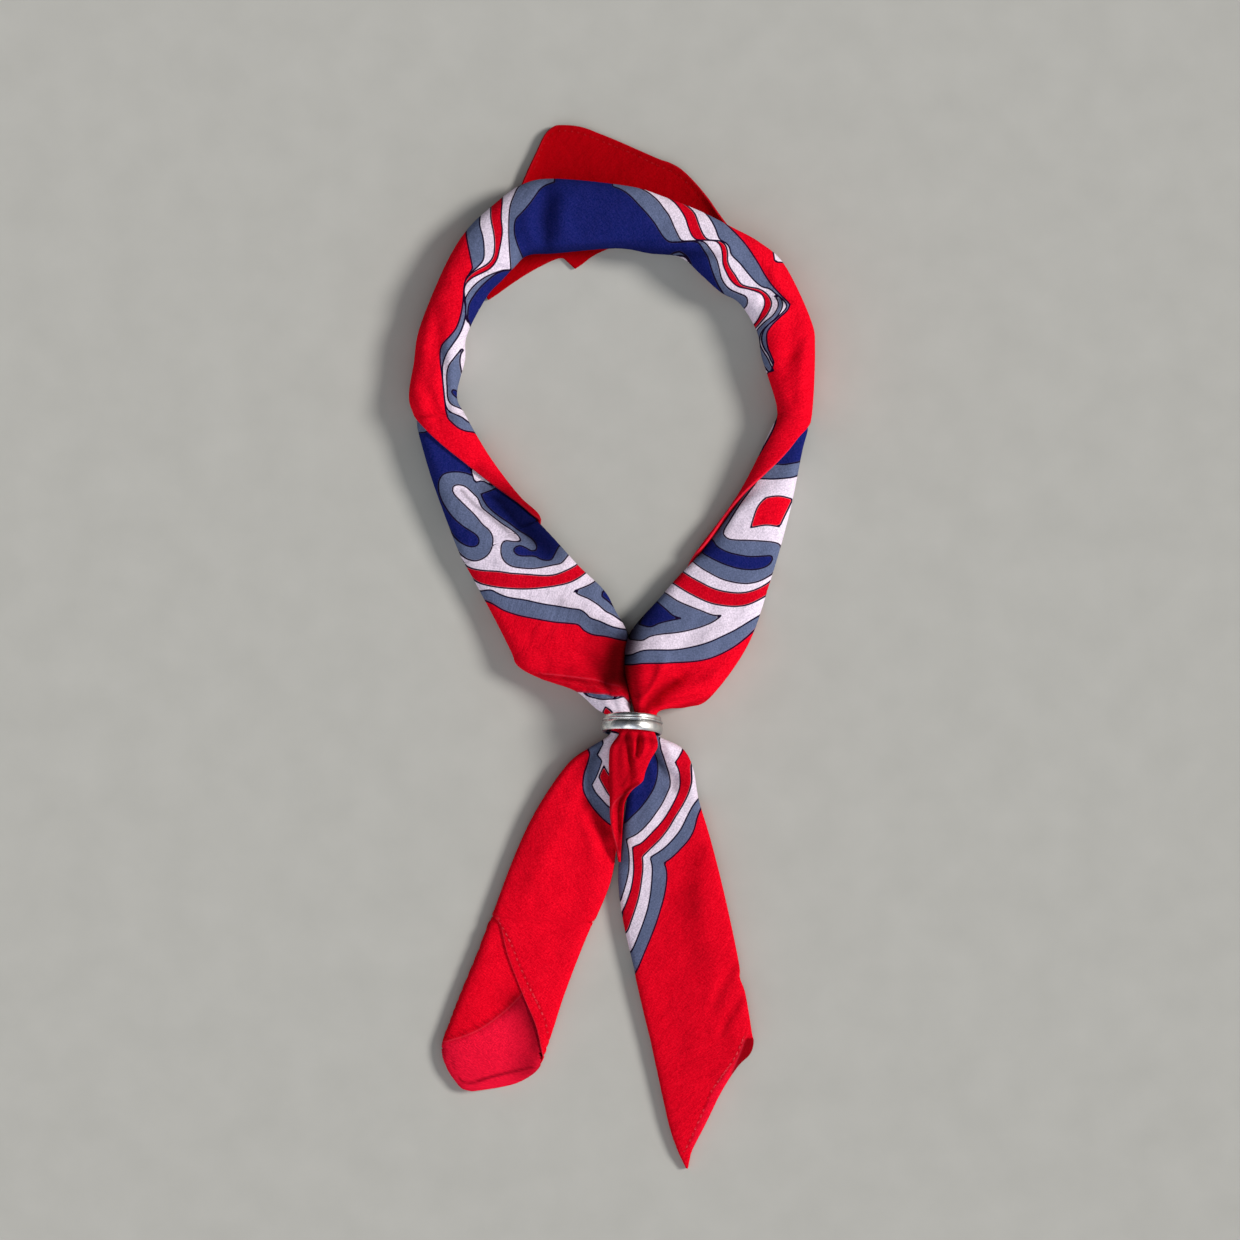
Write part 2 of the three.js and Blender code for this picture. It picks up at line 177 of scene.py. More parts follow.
# The print, drawn as it is seen from above and carried on round the roll by the way along the
# cloth. Each entry is a coat of ink and the outline of one patch of it, * a sharp corner.
FLAP_PRINT = [
    (1, """466 205, 467.5 233, 468.5 243, 470.5 254, 473.5 270*, 469 278, 465.5 286, 464 300,
        462.5 310, 460 320, 456 330, 450 338, 443 346, 441 352, 441 362, 442.5 375, 444 390,
        445 403, 448 418, 453 424, 459 429, 466 432, 473 433, 477 436, 495 440*, 500 400,
        500 330, 530 290, 600 270, 690 285, 735 330, 760 375*, 773.5 366, 771.4 356,
        768.8 349.7, 767.3 340.8, 767.6 333.2, 771.4 326.8, 779 319, 786.7 311.5, 789 305.7*,
        780.4 297, 771.6 287.5, 764.3 277.2, 758.4 267, 752.6 258.2, 745.2 247.9, 737.9 239.8,
        729.8 231.8, 722 224, 712 212*, 700 190, 600 150, 500 160*"""),
    (2, """481 200, 481.5 217, 481 228, 484 240, 485 252, 484 262, 478 269, 470 276.5,
        466.5 282, 464.8 292, 466 300, 466.3 311, 464.5 320, 462 328, 458 337, 452 347,
        447 355, 443.5 365, 443 378, 444 393, 445.5 405, 449 412, 455 415, 461 418, 466 422,
        470 424, 485 430*, 500 400, 500 330, 530 290, 600 270, 690 285, 735 330, 765 378*,
        773.7 367, 771.4 361.2, 768.8 354.8, 765.6 349.7, 763 340.8, 763.7 333.2, 767.6 326.8,
        775.2 320.4, 782.9 312.8, 785.8 307.7, 782 301, 776 296.3, 768.7 290.4, 761.4 288.2,
        754 282.4, 746.7 274.3, 739.4 265.5, 730.6 256.7, 729 250.8, 726 246.4, 719.6 242.8,
        717.3 239, 715.2 233.2, 711.5 225.9, 707 219.3, 701.2 212.7, 690 195*, 600 140,
        500 150*"""),
    (2, "777 409*, 778 419, 775 429, 769 441, 760 457*, 750 452, 765 420"),
    (2, "771 250.5*, 777 253.5*, 784 264.5*, 773.5 264*"),
    (3, """492.5 190*, 492 207, 492 222, 494.5 235, 495.5 247, 494 258, 489 265, 480 270.5,
        472 276, 466 284, 464.5 299, 466 309, 466.5 322, 480 330*, 530 290, 600 270, 690 285,
        750 335*, 758 327.4, 762.4 321.7, 767.2 315.4, 770.9 306.6, 770.2 300.7, 765.8 294.8,
        758.4 290.4, 748 288.2, 740.8 285.3, 735 277.2, 729.8 269.9, 726.9 262.6, 726.9 255.2,
        724.7 247.9, 720.3 244.2, 716 243.4, 708.6 242.8, 704.9 240.6, 701.2 234.7,
        697.6 225.9, 693.9 217, 688 210.5, 681.4 205.4, 672 198*, 600 150"""),
    (4, """503 190*, 503 205, 502 220, 503 235, 500 252, 497 262, 490 270, 480 276,
        472 280.5, 466.5 286.5, 465 292, 465.5 300, 466.5 308, 466.8 322*, 480 330, 530 290,
        600 270, 690 285, 748 330*, 757 323, 761.4 313.9, 764.3 306.6, 764.3 300.7,
        761.4 295.6, 755.5 292.6, 746.7 289.9, 737.9 287.5, 730.6 281.6, 725.4 272.8,
        722.5 265.5, 721.8 256.7, 720.3 249.4, 715.9 244.2, 706 242.9, 696 242.2, 691.7 238.4,
        688 230.3, 685 221.5, 680.7 214.2, 674.8 206.8, 669 201.7, 660 196*, 600 150"""),
    (5, """530 178*, 524 186, 519 190, 515 198, 511.5 207, 510 217, 509.5 235, 510 250,
        510.5 262, 510.5 269*, 503 270.5, 497 273, 485 279, 476 286, 470 293, 466 300.5,
        466 306, 467 320, 480 325*, 530 290, 600 270, 690 285, 740 312*, 746.7 306.6,
        748 303.6, 746.7 297.8, 739.4 294, 729 289, 721.8 280.2, 718.8 269.9, 715.9 261,
        709.3 250.8, 702.7 244.2, 690 243.3, 681.5 242.8, 677.7 237.6, 673.3 228.8,
        669 219.3, 663 211.2, 657.2 203.9, 648.4 196.5, 639.6 191.4, 628 184.5, 625 176*,
        600 150"""),
    (5, """461.5 350, 458 354, 453 361, 449 367, 447 376, 447 388, 447.5 399, 451 405,
        457 408, 462 410, 475 413*, 470 385, 461 377, 459.5 369, 459 362, 460 355"""),
    (5, """773.8 297.4*, 776.9 301.2, 777.8 306.2, 776 311.4, 771.8 317.6, 764.8 323.3,
        759 330.1, 757.1 336.4, 757.6 346, 760.1 355.3, 764.2 363.4, 770.3 372.6*,
        774.3 371.4*, 771.6 366, 768.5 358.9, 765.3 353.2, 762 345.7, 761.3 338.4,
        762.7 332.3, 768.4 325.6, 774.9 319.7, 780 312.4, 781.7 306.4, 780.7 300.9,
        776.7 296.4*"""),
    (6, """555 176*, 555 185.5*, 547.3 187.9, 541 192, 535 200, 529 208, 522 216, 516.5 222,
        515 233, 517 243, 520.5 252, 524 258.5*, 530 262, 600 262, 655 265*, 664 260,
        671 254, 679 252, 684 254, 689 258.5, 693 266, 700 285*, 728 310*, 733 301,
        727.6 296.3, 720.3 287.5, 715.2 278.7, 710.8 268.4, 707.8 259.6, 702.7 251.6,
        696.8 244.4, 680 243.9, 669.7 243.6, 664.5 240.6, 660 234.7, 654.3 225.9, 647 217,
        638 207.5, 629.3 198.7, 620.5 192.9, 612.5 190*, 611.7 182.6, 611.7 176*"""),
    (6, """512 269.5, 500 272.5, 490 279.5, 481 288, 474 297, 469 306, 467 319*, 470 330*,
        520 300, 530 275*"""),
    (6, "451 391, 457 393, 462 400, 455 398"),
    (7, "672.5 257.5, 679.5 255.2, 686 257, 690 262.8, 686 270*, 674 266*"),
]
LEFT_FRONT_PRINT = [
    (1, """455 585*, 470 592, 486.6 599.6, 494.4 603.8, 504.2 610, 518.2 615, 535 618.6,
        553.3 622, 571.5 623.5, 578.6 624.9, 584.2 630.5, 592.6 634.7, 606.6 636.8,
        622 640.5, 640 645*, 640 600, 600 540, 560 500, 520 470, 470 430, 430 410, 400 400*,
        400 500, 430 560"""),
    (2, """470 583*, 480.3 589.8, 491.6 589.8, 500 594, 509.8 597.5, 525.2 600, 542 603.8,
        560.3 606.6, 571.5 608.7, 580 610, 585.6 613.6, 589.8 617.9, 599.6 621.4, 612.2 627,
        626 631, 640 636*, 640 600, 600 540, 560 500, 520 470, 470 430, 430 410, 400 400*,
        400 500, 430 560"""),
    (3, """455 548*, 463.5 559, 469 566, 480.3 569.9, 498.6 571.5, 511.2 573.4, 525.2 574.4,
        543.5 575.8, 554.7 575, 564.5 571.5, 573 567.3, 578.6 563, 590 553*, 600 562*,
        586.3 572.2, 580 577.2, 571.5 582, 561.7 584.9, 546.3 587.4, 528 589, 509.8 588.4,
        495.8 586.7, 483 583.5, 476 579.3, 469.8 572.2, 458 560*"""),
    (5, """445 530*, 455 541.4, 457.2 545.6, 461.4 552.6, 467.7 558.2, 474.7 560.7,
        481.7 559.3, 488.4 554.7, 492 548.4, 493.2 541.4, 492.6 535.8, 489.4 530.4, 483 524.7,
        476 516, 469 509, 460.7 500.7, 454.4 493.7, 453.4 488.8, 455 486, 460 485.3,
        466.3 487.4, 473.3 493.7, 478.2 498.6, 480.3 503.5, 483 508.4, 488.8 513.2, 495.8 518.8,
        504.6 525.4, 512.6 530.6, 519 536.6, 521.5 541.6*, 514 542, 508.6 541,
        505 541.2, 502.4 544, 501.4 548, 501.6 554.4, 504.6 561, 511.2 566, 521 568,
        532.2 568.7, 543.5 567.3, 553.3 565.2, 560.3 563.8, 564.5 559.6, 568.7 553.5,
        580 545*, 560 500, 500 440, 420 400*, 400 430, 420 500"""),
    (5, """572.9 591.6*, 588.4 585.6, 596 581, 610 575*, 630 600, 625 626*, 612.2 615.7,
        605.2 611.5, 598.2 605.2, 588.4 598.9, 580 595.4"""),
    (6, """400 420*, 421 433, 440 430, 475 462*, 473.5 478*, 467.7 474, 456.5 472.3,
        445.3 474, 440.8 479.6, 439.9 488, 442.4 497.9, 447.4 507.7, 454.4 517.5, 463.5 526,
        471.9 531.6, 477.5 535.8, 479.6 540.7, 478.2 544.9, 473.3 546.7, 466.3 544.9,
        459.3 540, 453.7 533, 449 524, 435 515*, 415 470"""),
    (6, """497 488*, 488 492, 481 494.5*, 483.8 500.7, 488.8 507.7, 498.6 516, 509.8 523.8,
        518.2 530.2, 529.4 537.2, 535 542.8, 536.5 549.8, 531 551, 526.6 548.4, 519.6 546,
        514.3 549, 515.4 553.3, 521 556, 535 556.5, 542 559.9, 550.5 560.3, 553.3 556.8,
        559 545.6, 575 535*, 550 490, 510 465*"""),
    (6, "599.6 595.4*, 602.4 591.9, 615 590*, 625 615*, 616.4 611.5, 608 603"),
    (4, """570.7 689.9*, 584 691.2, 602 693.2, 615.4 695.2, 623.8 696.4*, 628 702.7,
        632.8 711.6*, 634 722*, 596 724*, 590 703, 581 697*"""),
    (5, """584 691.2*, 602 693.2, 615.4 695.2, 623.8 696.4*, 617 697.9, 607.3 698.9,
        598.4 697.9, 589.5 695.5"""),
    (7, "469 465*, 471.4 472, 474.6 483*, 482 481*, 494 487*, 492 474*"),
    (8, "606.5 706*, 611 709.4, 614.5 713.6, 620 715.5*, 618 719*, 611 717.5, 606 714.5, 605 710"),
]
RIGHT_FRONT_PRINT = [
    (1, """770 610*, 753 629, 744.7 637.5, 733.5 646.6, 719.4 654.3, 705.4 659.2, 688.6 662,
        666 662.8, 649.3 663.4, 631 664.9, 615 668*, 640 600, 700 500, 760 420, 830 420*,
        830 560"""),
    (2, """775 600*, 760 613, 750.3 620, 736.3 629, 722.2 636, 708.2 642.4, 694.2 646.6,
        677.3 649.4, 659 650, 645 650.5, 638 652.2, 631.7 655, 615 660*, 640 600, 700 500,
        735 482, 745 479.5, 758.6 479.2, 768.8 479.6, 780.3 479.2, 790.5 477.3, 796.9 474.1,
        799.4 471.6, 815 462*, 830 500"""),
    (3, """785 565*, 772 577, 767 582, 758.7 587.7, 747.5 591.9, 736.3 593, 722.2 591.2,
        711 587.7, 699.8 582, 690 576.5, 683 571.5, 670 560*, 660 575*, 674.5 584.2,
        683 589.8, 694.2 596, 708.2 602.4, 722.2 605.6, 736.3 606.3, 747.5 604.5,
        758.7 598.9, 766.4 593.3, 778 584*"""),
    (5, """757 476*, 758 480.5, 750.3 492.3, 740.5 506.3, 730.7 521.7, 724.4 533, 726.5 537.9,
        732 540, 750.3 540.7, 764.3 541.4, 775.6 542.8, 779 545.6, 777.7 555.4, 775.6 563.8,
        771.4 572.2, 764.3 577.9, 757.3 581.4, 747.5 583.5, 736.3 582.8, 722.2 579.3,
        708.2 572.2, 698.4 566, 692 559.6, 680 550*, 700 510, 740 470*"""),
    (5, """660 590*, 669 595.4, 677.3 601, 690 606.6, 701.2 610.8, 713.8 615.5, 721.5 615.5*,
        713.8 621.4, 702.6 626.3, 690 629.8, 676 632.6, 659 634.7, 649.3 636.8, 643 640.3,
        630 640*, 640 610"""),
    (6, """760 470*, 775 464.5, 782.9 465.2, 790.5 463.9, 796.9 461.4, 801 458.5, 815 450*,
        810 420*, 770 440"""),
    (6, """711 537.2*, 714.5 541.4, 718 547, 726.5 551.9, 736.3 554.7, 750.3 556.8, 764.3 556,
        770.7 556, 771 559.6, 767 565.2, 758.7 568.7, 750.3 569.7, 739 568.7, 726.5 565.2,
        715.2 560.3, 705.4 554.7, 700.5 549.8, 690 540*, 705 525*"""),
    (6, """655 600*, 662 606, 667.5 610.8, 673 615.7, 681.6 618.6*, 670.3 620.7, 659 623.5,
        650.7 627, 640 625*"""),
    (8, "765.7 497.9*, 778.4 496.2, 791 498.6*, 778.4 526.6*, 765.7 525.2, 750.3 528*, "
        "755.9 510.5, 760 503.5"),
]
LEFT_TAIL_PRINT = [
    (1, """592 735*, 590 747, 589.5 759, 584 775, 583 789, 588 800, 598 814, 609 824,
        620 830*, 625 800, 620 735, 600 730*"""),
    (2, """604 730*, 604 742, 600.5 750, 597.6 754.8*, 601.7 761*, 599.4 769.7, 596 777.8,
        592 785*, 596 792.7, 601.7 799.6, 609 807, 620 812*, 625 780, 620 733*"""),
    (3, "604.5 765.7*, 609 775, 615 780*, 615 800*, 609 795, 602.8 784.6, 599.4 776.6*"),
]
RIGHT_TAIL_PRINT = [
    (1, """720 770*, 705 800, 701 806, 697 817.5, 694 829.7, 689 839.4, 681.8 847.8,
        672 857.5, 664.2 863*, 666.6 871, 666.6 881.8, 664.8 893.9, 661 908.4, 655 927,
        643.6 955.4, 634.6 976.8, 625 990*, 600 950, 600 800, 640 730, 700 730*"""),
    (2, """705 790*, 698 798, 692.7 806, 686.6 817.5, 680.6 829.7, 672 840.6, 662.4 849.7,
        650.3 857.5*, 652.3 867.2, 652 879.3, 650.3 896.3, 646.6 913.3, 637.3 939.3,
        629.6 956.3, 620 965*, 600 920, 600 800, 640 730, 700 730*"""),
    (3, """680.6 740*, 690.9 761.8*, 689.7 764.8, 690.5 773.9, 690.9 782.4, 688.4 793.3,
        683 804.2, 675.7 816.3, 668.5 828.5, 660 839.4, 651.5 847.8, 642.4 856.9*,
        643 867.2, 641.8 879.3, 639.4 895, 635.7 908.4, 632 919.6, 626.6 934, 615 945*,
        600 900, 600 800, 640 730*"""),
    (4, """681 738*, 681 746.7, 680 754.5, 674.5 762.4*, 678 769, 679.6 777.6, 679.4 787.3,
        675.7 798.2, 669.7 810.3, 662.4 821.2, 652.7 832, 641.8 843, 632.7 847.2*,
        633.3 855, 633.9 869.7, 632.7 881.8, 630.3 892.7, 626.6 903.6, 623.6 912,
        622.4 919.3, 612 925*, 600 900, 600 800, 640 730*"""),
    (5, """657 734*, 660.2 746.7, 663.6 755.8, 666.6 765.4, 669.4 775, 670.3 784.8, 667.8 792,
        662.4 803, 655 813.9, 647.9 823.6, 638 833.3, 626.6 839.4*, 628.5 849, 629.4 860,
        628.5 873.3, 626 884.2, 623 895, 620.6 902.4, 612 910*, 600 880, 600 800, 630 735*"""),
    (6, """640 735*, 655 745, 653.9 752, 656.9 760.6, 657.5 769, 656.3 778.8, 653.3 788.5,
        647.9 798.2, 640.6 807.9, 632 816.3, 624.8 823.6, 610 830*, 600 800, 630 735*"""),
]
INK_COATS = ("slate", "white", "stripe", "white", "slate", "navy", "white", "red")

# Folds pressed into the cloth from above: line, half width and depth in millimetres, below 0
# a crease and above 0 a ridge
ROLL_FOLDS = [
    ("473 270, 490 269.5, 511 269, 525 260", 1.6, -2.2),
    ("552 186, 548 205, 545 225, 550 250", 3.4, -2.6),
    ("568 190, 565 210, 562 240", 3.0, 0.8),
    ("524 215, 530 235, 538 250", 2.6, 0.7),
    ("787 304, 770 301, 757 297", 2.4, -1.9),
    ("789 304, 793 320, 791 345, 785 370", 3.6, -1.6),
    ("783 306, 776 316, 766 326, 762 338", 1.6, 0.9),
    ("787 300, 780 285, 765 268", 2.2, 0.9),
    ("443 345, 445 375, 447 400, 453 422", 1.8, -1.6),
    ("474 482, 492 505, 508 525, 526 545", 1.6, 0.7),
    ("480 478, 500 500, 520 524, 536 546", 2.0, -1.0),
    ("505 515, 525 532, 548 545", 1.8, -0.7),
    ("490 560, 520 566, 550 560", 2.2, 0.6),
    ("628 628, 625 650, 625 675, 628 702", 3.4, -4.2),
    ("612 640, 616 660, 616 684", 3.6, -1.6),
    ("634 711, 642 700, 652 689, 660 672, 664 655", 1.8, 2.2),
    ("645 712, 652 701, 662 690, 678 678, 692 668", 1.9, -3.2),
    ("640 712, 645 704, 655 690, 668 668", 1.0, -1.2),
    ("650 711, 664 705, 682 701, 704 697, 716 690", 1.6, 1.8),
    ("662 712, 680 710, 700 706", 1.0, -1.0),
    ("664 699, 692 688, 725 668", 1.8, 1.3),
    ("660 660, 690 650, 720 640", 3.0, 0.6),
    ("432 296, 438 330, 431 372", 2.6, -1.2),
    ("420 380, 432 400, 440 430", 2.4, -1.1),
    ("425 345, 436 352, 442 356", 1.6, -0.8),
    ("415 402, 425 410, 432 425", 2.0, 0.8),
    ("440 262, 452 280, 458 300", 2.6, 0.8),
    ("800 330, 803 370, 797 410", 3.0, 1.0),
    ("741 235, 765 262, 783 290", 2.4, 1.0),
    ("755 245, 775 268, 790 292", 2.0, -0.8),
    ("806 330, 796 350, 784 360", 2.2, -0.9),
    ("810 385, 800 395, 786 400", 2.0, -0.8),
    ("500 612, 540 640, 580 660", 5.0, -0.8),
    ("480 600, 500 630, 530 655", 4.0, 0.6),
]
# Folded edges that lie on the cloth below: line, how far the cloth on its left stands above
# the cloth on its right, and how far from the line that runs out, in millimetres
ROLL_STEPS = [
    ("520 253, 545 249, 580 246, 620 243.5, 660 243, 700 243.5, 724 246, 731 256", 1.6, 5.0),
    ("545 674.5, 560 676, 569 676.8, 582 678.6, 596 680.8, 610 683.5, 618 687", 1.5, 4.5),
    ("562 688.5, 570.7 689.9, 584 691.2, 602 693.2, 615.4 695.2, 623.8 696.4, 628 702.7, "
     "632.8 711.6", 1.4, 4.0),
]
LEFT_TAIL_FOLDS = [
    ("585 810, 596 822, 606 838, 612 860", 3.2, -1.8),
    ("560 800, 540 850, 520 890", 6.0, 0.7),
    ("600 745, 590 765, 588 790", 2.0, -0.8),
    ("580 880, 560 930, 552 980", 5.0, -0.6),
    ("490 1020, 512 1005, 516 1000", 1.6, -0.5),
    ("470 975, 485 968, 500 962", 2.2, 0.4),
    ("522 1006, 530 1030, 534 1052", 2.6, -0.9),
    ("575 800, 590 835, 598 870", 2.6, 0.6),
]
LEFT_TAIL_STEPS = [
    ("521 996, 508 1009, 495 1019.5, 481 1029, 466 1036, 444 1043", 0.8, 9.0),
    ("530 1068, 515 1071.5, 500 1075, 485 1079, 472 1083, 463 1082.5, 459 1079, 454 1070, "
     "451 1056", 0.6, 6.0),
]
RIGHT_TAIL_FOLDS = [
    ("652 748, 660 765, 672 775, 677 790", 1.8, -2.2),
    ("664 738, 672 755, 681 766", 1.6, 1.3),
    ("690 745, 692 765, 696 800", 2.6, 0.8),
    ("640 760, 650 780, 645 800", 2.6, -0.8),
    ("700 880, 706 940, 716 990, 724 1020", 5.0, 0.7),
    ("660 960, 672 1020, 684 1080", 6.0, -0.6),
    ("738 965, 722 990, 714 1015", 2.4, -0.9),
    ("742 1000, 728 1020, 722 1040", 2.0, -0.7),
    ("700 840, 690 870, 688 900", 3.6, -0.6),
]
RIGHT_TAIL_STEPS = [("722 1086, 733 1068, 741 1052, 747 1040", 1.3, 4.0)]
PLEAT_FOLDS = [
    ("626 734, 629 752, 631 775, 622 790", 1.3, -1.8),
    ("633 734, 634 750, 633 765", 1.0, 1.4),
    ("639 734, 638 748, 634 760", 0.9, -1.8),
    ("645 734, 644 748, 640 756", 0.9, 1.2),
    ("636 782, 624 792, 619 803, 618.5 820, 619.5 845", 1.4, -2.6),
    ("613 745, 612 770, 613 800", 1.4, 0.9),
]

# Stitched hems: the line of stitches
LEFT_TAIL_HEMS = ["499 922, 511 944, 518 962, 527 983, 538 1005, 545 1022, 548 1040"]
RIGHT_TAIL_HEMS = ["743 1040, 737 1054, 729 1067, 719 1081, 710 1095, 704 1110, 696 1129, "
                   "690 1142, 685 1152"]
CORNER_HEMS = ["533 168, 541 148, 548 136, 558 129.5, 578 131, 598 138, 636 153.5, 658 164, "
               "676 172, 690 184, 706 203, 722 226"]
# Folded edges along which a lighter line is painted as a highlight
LOBE_HIGHLIGHTS = ["562 688.5, 570.7 689.9, 584 691.2, 602 693.2, 615.4 695.2, 623.8 696.4, "
             "628 702.7, 632.8 711.6", "545 673.5, 569 675.8, 596 679.8, 618 686"]
LEFT_TAIL_HIGHLIGHTS = ["521 996, 508 1009, 495 1019.5, 481 1029, 466 1036, 444 1043"]
RIGHT_TAIL_HIGHLIGHTS = ["744.5 1041, 740 1054, 731.5 1074"]
PLEAT_HIGHLIGHTS = ["657.5 746, 650.8 759, 645.6 771, 642 781, 630 790, 619.5 797, 613.5 804, "
              "611.5 815, 612.5 828, 616 842, 619 856"]

# Where the colour is lighter, above 0, as turned cloth, or darker, below 0, with painted shade in
# folds, gaps and under edges: the layer of cloth, how much, the half width in millimetres of a
# line or None for a patch, and the line or the patch's outline
ROLL_TINTS = [
    ("all", -0.98, 3.6, "640 606, 635 622, 631 636, 628 648, 625 660, 623 670, 623 680"),
    ("all", -0.85, 1.4, "622 674, 625 686, 630 699, 635 712"),
    ("all", -0.8, 4.0, "622 640, 617 652, 614 664, 613 676"),
    ("all", -0.78, 4.0, "614 648, 611 664, 611 680"),
    ("all", -0.35, 5.0, "600 638, 598 656, 600 672"),
    ("all", -0.4, 3.4, "656 616, 648 624, 640 640"),
    ("all", -0.5, 1.5, "640 713, 647 706, 655 697, 663 689, 676 681"),
    ("all", -0.2, 3.4, "646 700, 655 690, 662 676"),
    ("all", -0.4, 0.6, "540 674, 552 676.5, 569 678.8, 585 681, 600 684.6, 613 690, 621 696"),
    ("all", -0.35, 0.9, "668 710, 690 703, 715 694"),
    ("all", -0.4, 1.8, "524 257, 545 253.5, 580 251, 620 250, 650 251, 690 254, 716 258"),
    ("all", -0.3, 1.1, "790 303.5, 782 302, 772 300"),
    ("all", -0.4, 2.4, "551 188, 547 206, 545 224, 549 246"),
    ("all", -0.35, 1.0, "443 345, 445 375, 447 400, 453 422"),
    ("all", -0.5, 1.0, "482 486, 500 503, 520 527, 536 543"),
    ("all", -0.72, 5.2, "503 500, 523 520, 540 538, 549 548"),
    ("all", -0.4, 2.2, "480 470, 505 490, 530 510, 546 528"),
    ("all", -0.25, 2.4, "560 602, 585 616, 604 628"),
    ("under", -0.5, 0.6, "462 491, 474 504, 488 515, 506 530, 521 542"),
    ("all", -0.2, 3.0, "440 262, 430 285, 424 320"),
]
LEFT_TAIL_TINTS = [
    ("under", 0.4, None, "430 1050*, 444 1043.5*, 466 1036.5, 481 1029.5, 495 1020, 508 1009.5, "
     "521 996*, 575 1030, 560 1110, 430 1120*"),
    ("under", -0.35, 0.5, "446 1039.5, 466 1032, 481 1025, 495 1015.5, 508 1005, 517 995"),
    ("under", -0.4, 2.2, "519 1000, 528 1016, 535 1034, 537 1052"),
    ("under", -0.5, 5.4, "517 1004, 525 1020, 531 1036, 533 1052, 527 1070"),
    ("all", -0.6, 0.4, "452 1058, 455 1072, 460 1080, 464 1083, 472 1083.5, 485 1079.5, "
     "500 1075.5, 515 1072, 532 1068"),
    ("flap", -0.55, 2.2, "588 802, 598 816, 606 834"),
    ("flap", -0.35, 1.8, "600 748, 590 768, 588 790"),
    ("flap", -0.18, 3.0, "560 820, 540 850, 524 888"),
]
RIGHT_TAIL_TINTS = [
    ("all", -0.7, None, "744.5 1041*, 750 1038, 760 1048, 750 1066, 733 1080, 731 1074*"),
    ("all", 0.2, None, "744.5 1041*, 738 1054, 730 1067, 719 1082, 710 1097, 703 1113, "
     "690 1143, 692 1152, 712 1116, 731 1082, 738 1068*"),
    ("all", -0.5, 1.4, "652 750, 660 766, 671 776, 676 790"),
    ("all", -0.4, 2.2, "624 800, 624 830, 626 860"),
    ("all", -0.2, 4.0, "700 850, 690 880, 694 910"),
    ("all", -0.25, 1.6, "738 966, 726 984, 716 1006"),
    ("all", -0.25, 1.4, "742 1000, 730 1018, 724 1036"),
    ("all", -0.16, 5.0, "690 900, 694 940, 706 960"),
    ("all", -0.1, 60.0, "690 800, 690 1150"),
]
PLEAT_TINTS = [
    ("all", -0.34, 4.0, "620 730, 620 760, 618 800"),
    ("all", -0.5, 0.9, "637 783, 626 791, 619 802, 618.4 820, 619.5 850"),
    ("all", -0.5, 0.9, "626 735, 629 752, 630 770, 623 785"),
    ("all", -0.45, 0.6, "639 735, 638 748, 634 760"),
    ("all", -0.35, 1.4, "612 740, 632 737, 655 740"),
    ("all", -0.2, 30.0, "630 730, 615 860"),
]

# Waves and pleats of rolled cloth
PLEAT_DEPTH = 0.5              # of a gathered section's pleats, in millimetres
FINE_WAVE = 0.45               # the fine wave's height, as a share of the broad wave's
LIFT_POWER = 0.6               # how soon folds and waves begin over a section's sides

# The back corner, in drawing units and millimetres
CORNER_OUTER = """521 186*, 530 165, 537 150, 545 133, 552 126, 558 123.5, 580 125, 600 132,
    620 140, 640 149, 660 158, 670 161.5, 680 167, 690 176, 700 187, 710 200, 718 212, 730 227*"""
CORNER_INNER = """484 291*, 487.5 299*, 498 292, 512 282, 530 270.5, 548 261, 558 257, 563 256.5*,
    569 262, 575 267.5*, 583 262, 592 255, 604 249, 640 236, 672 238, 700 240, 727 231*"""
CORNER_GRID = (150, 60)        # points along it and across it
CORNER_LIFTED_WIDTH = 8.0      # where the corner is narrower its edge stays down
CORNER_SHEET = 0.8             # its thickness
CORNER_LOWEST = 0.45

# Ring, in metres and degrees
RING_CENTRE = (0.0072, -0.0279, 0.0115)
RING_BORE = 0.0097
RING_OUTER = 0.0111
RING_TILT = 10.0               # its top leans back
RING_TURN = 3.0                # it is turned, seen from above
BAND = (-0.0031, 0.0007)       # the rounded band, along the bore from the centre
COLLAR = (0.0012, 0.0031)
COLLAR_STEP = 0.0006
BEAD = (0.0007, 0.0015)        # the fine step between them
BEAD_DEPTH = 0.0009
BRIGHTEST_LEFT = 0.0032         # how far left of the middle the painted shade on the metal is least

# Light and camera, in metres
ROOM_COLOUR = (0.93, 0.96, 1.0, 1)
SOFTBOX_WAY = Vector((-0.16, -0.3, 0.94))
SENSOR = 36                    # millimetres
EYE_HEIGHT = 1.5
CLOTH_HEIGHT = 0.007           # where the view's width is measured
VIEW_WIDTH = 0.4464
VIEW_CENTRE = (0.0029, 0.0097)


def drawn(text):
    """Points of a drawn line and which of them are sharp corners."""
    words = text.split(",")
    points = [[float(value) for value in word.replace("*", "").split()] for word in words]
    return np.array(points), ["*" in word for word in words]


def eased(share):
    """A share from 0 to 1 that leaves and arrives gently."""
    return share * share * (3 - 2 * share)


def curved(t, here, leaving, there, arriving):
    """A place between two others, from the ways in which a curve leaves one and arrives."""
    return ((2 * t**3 - 3 * t**2 + 1) * here + (t**3 - 2 * t**2 + t) * leaving
            + (3 * t**2 - 2 * t**3) * there + (t**3 - t**2) * arriving)


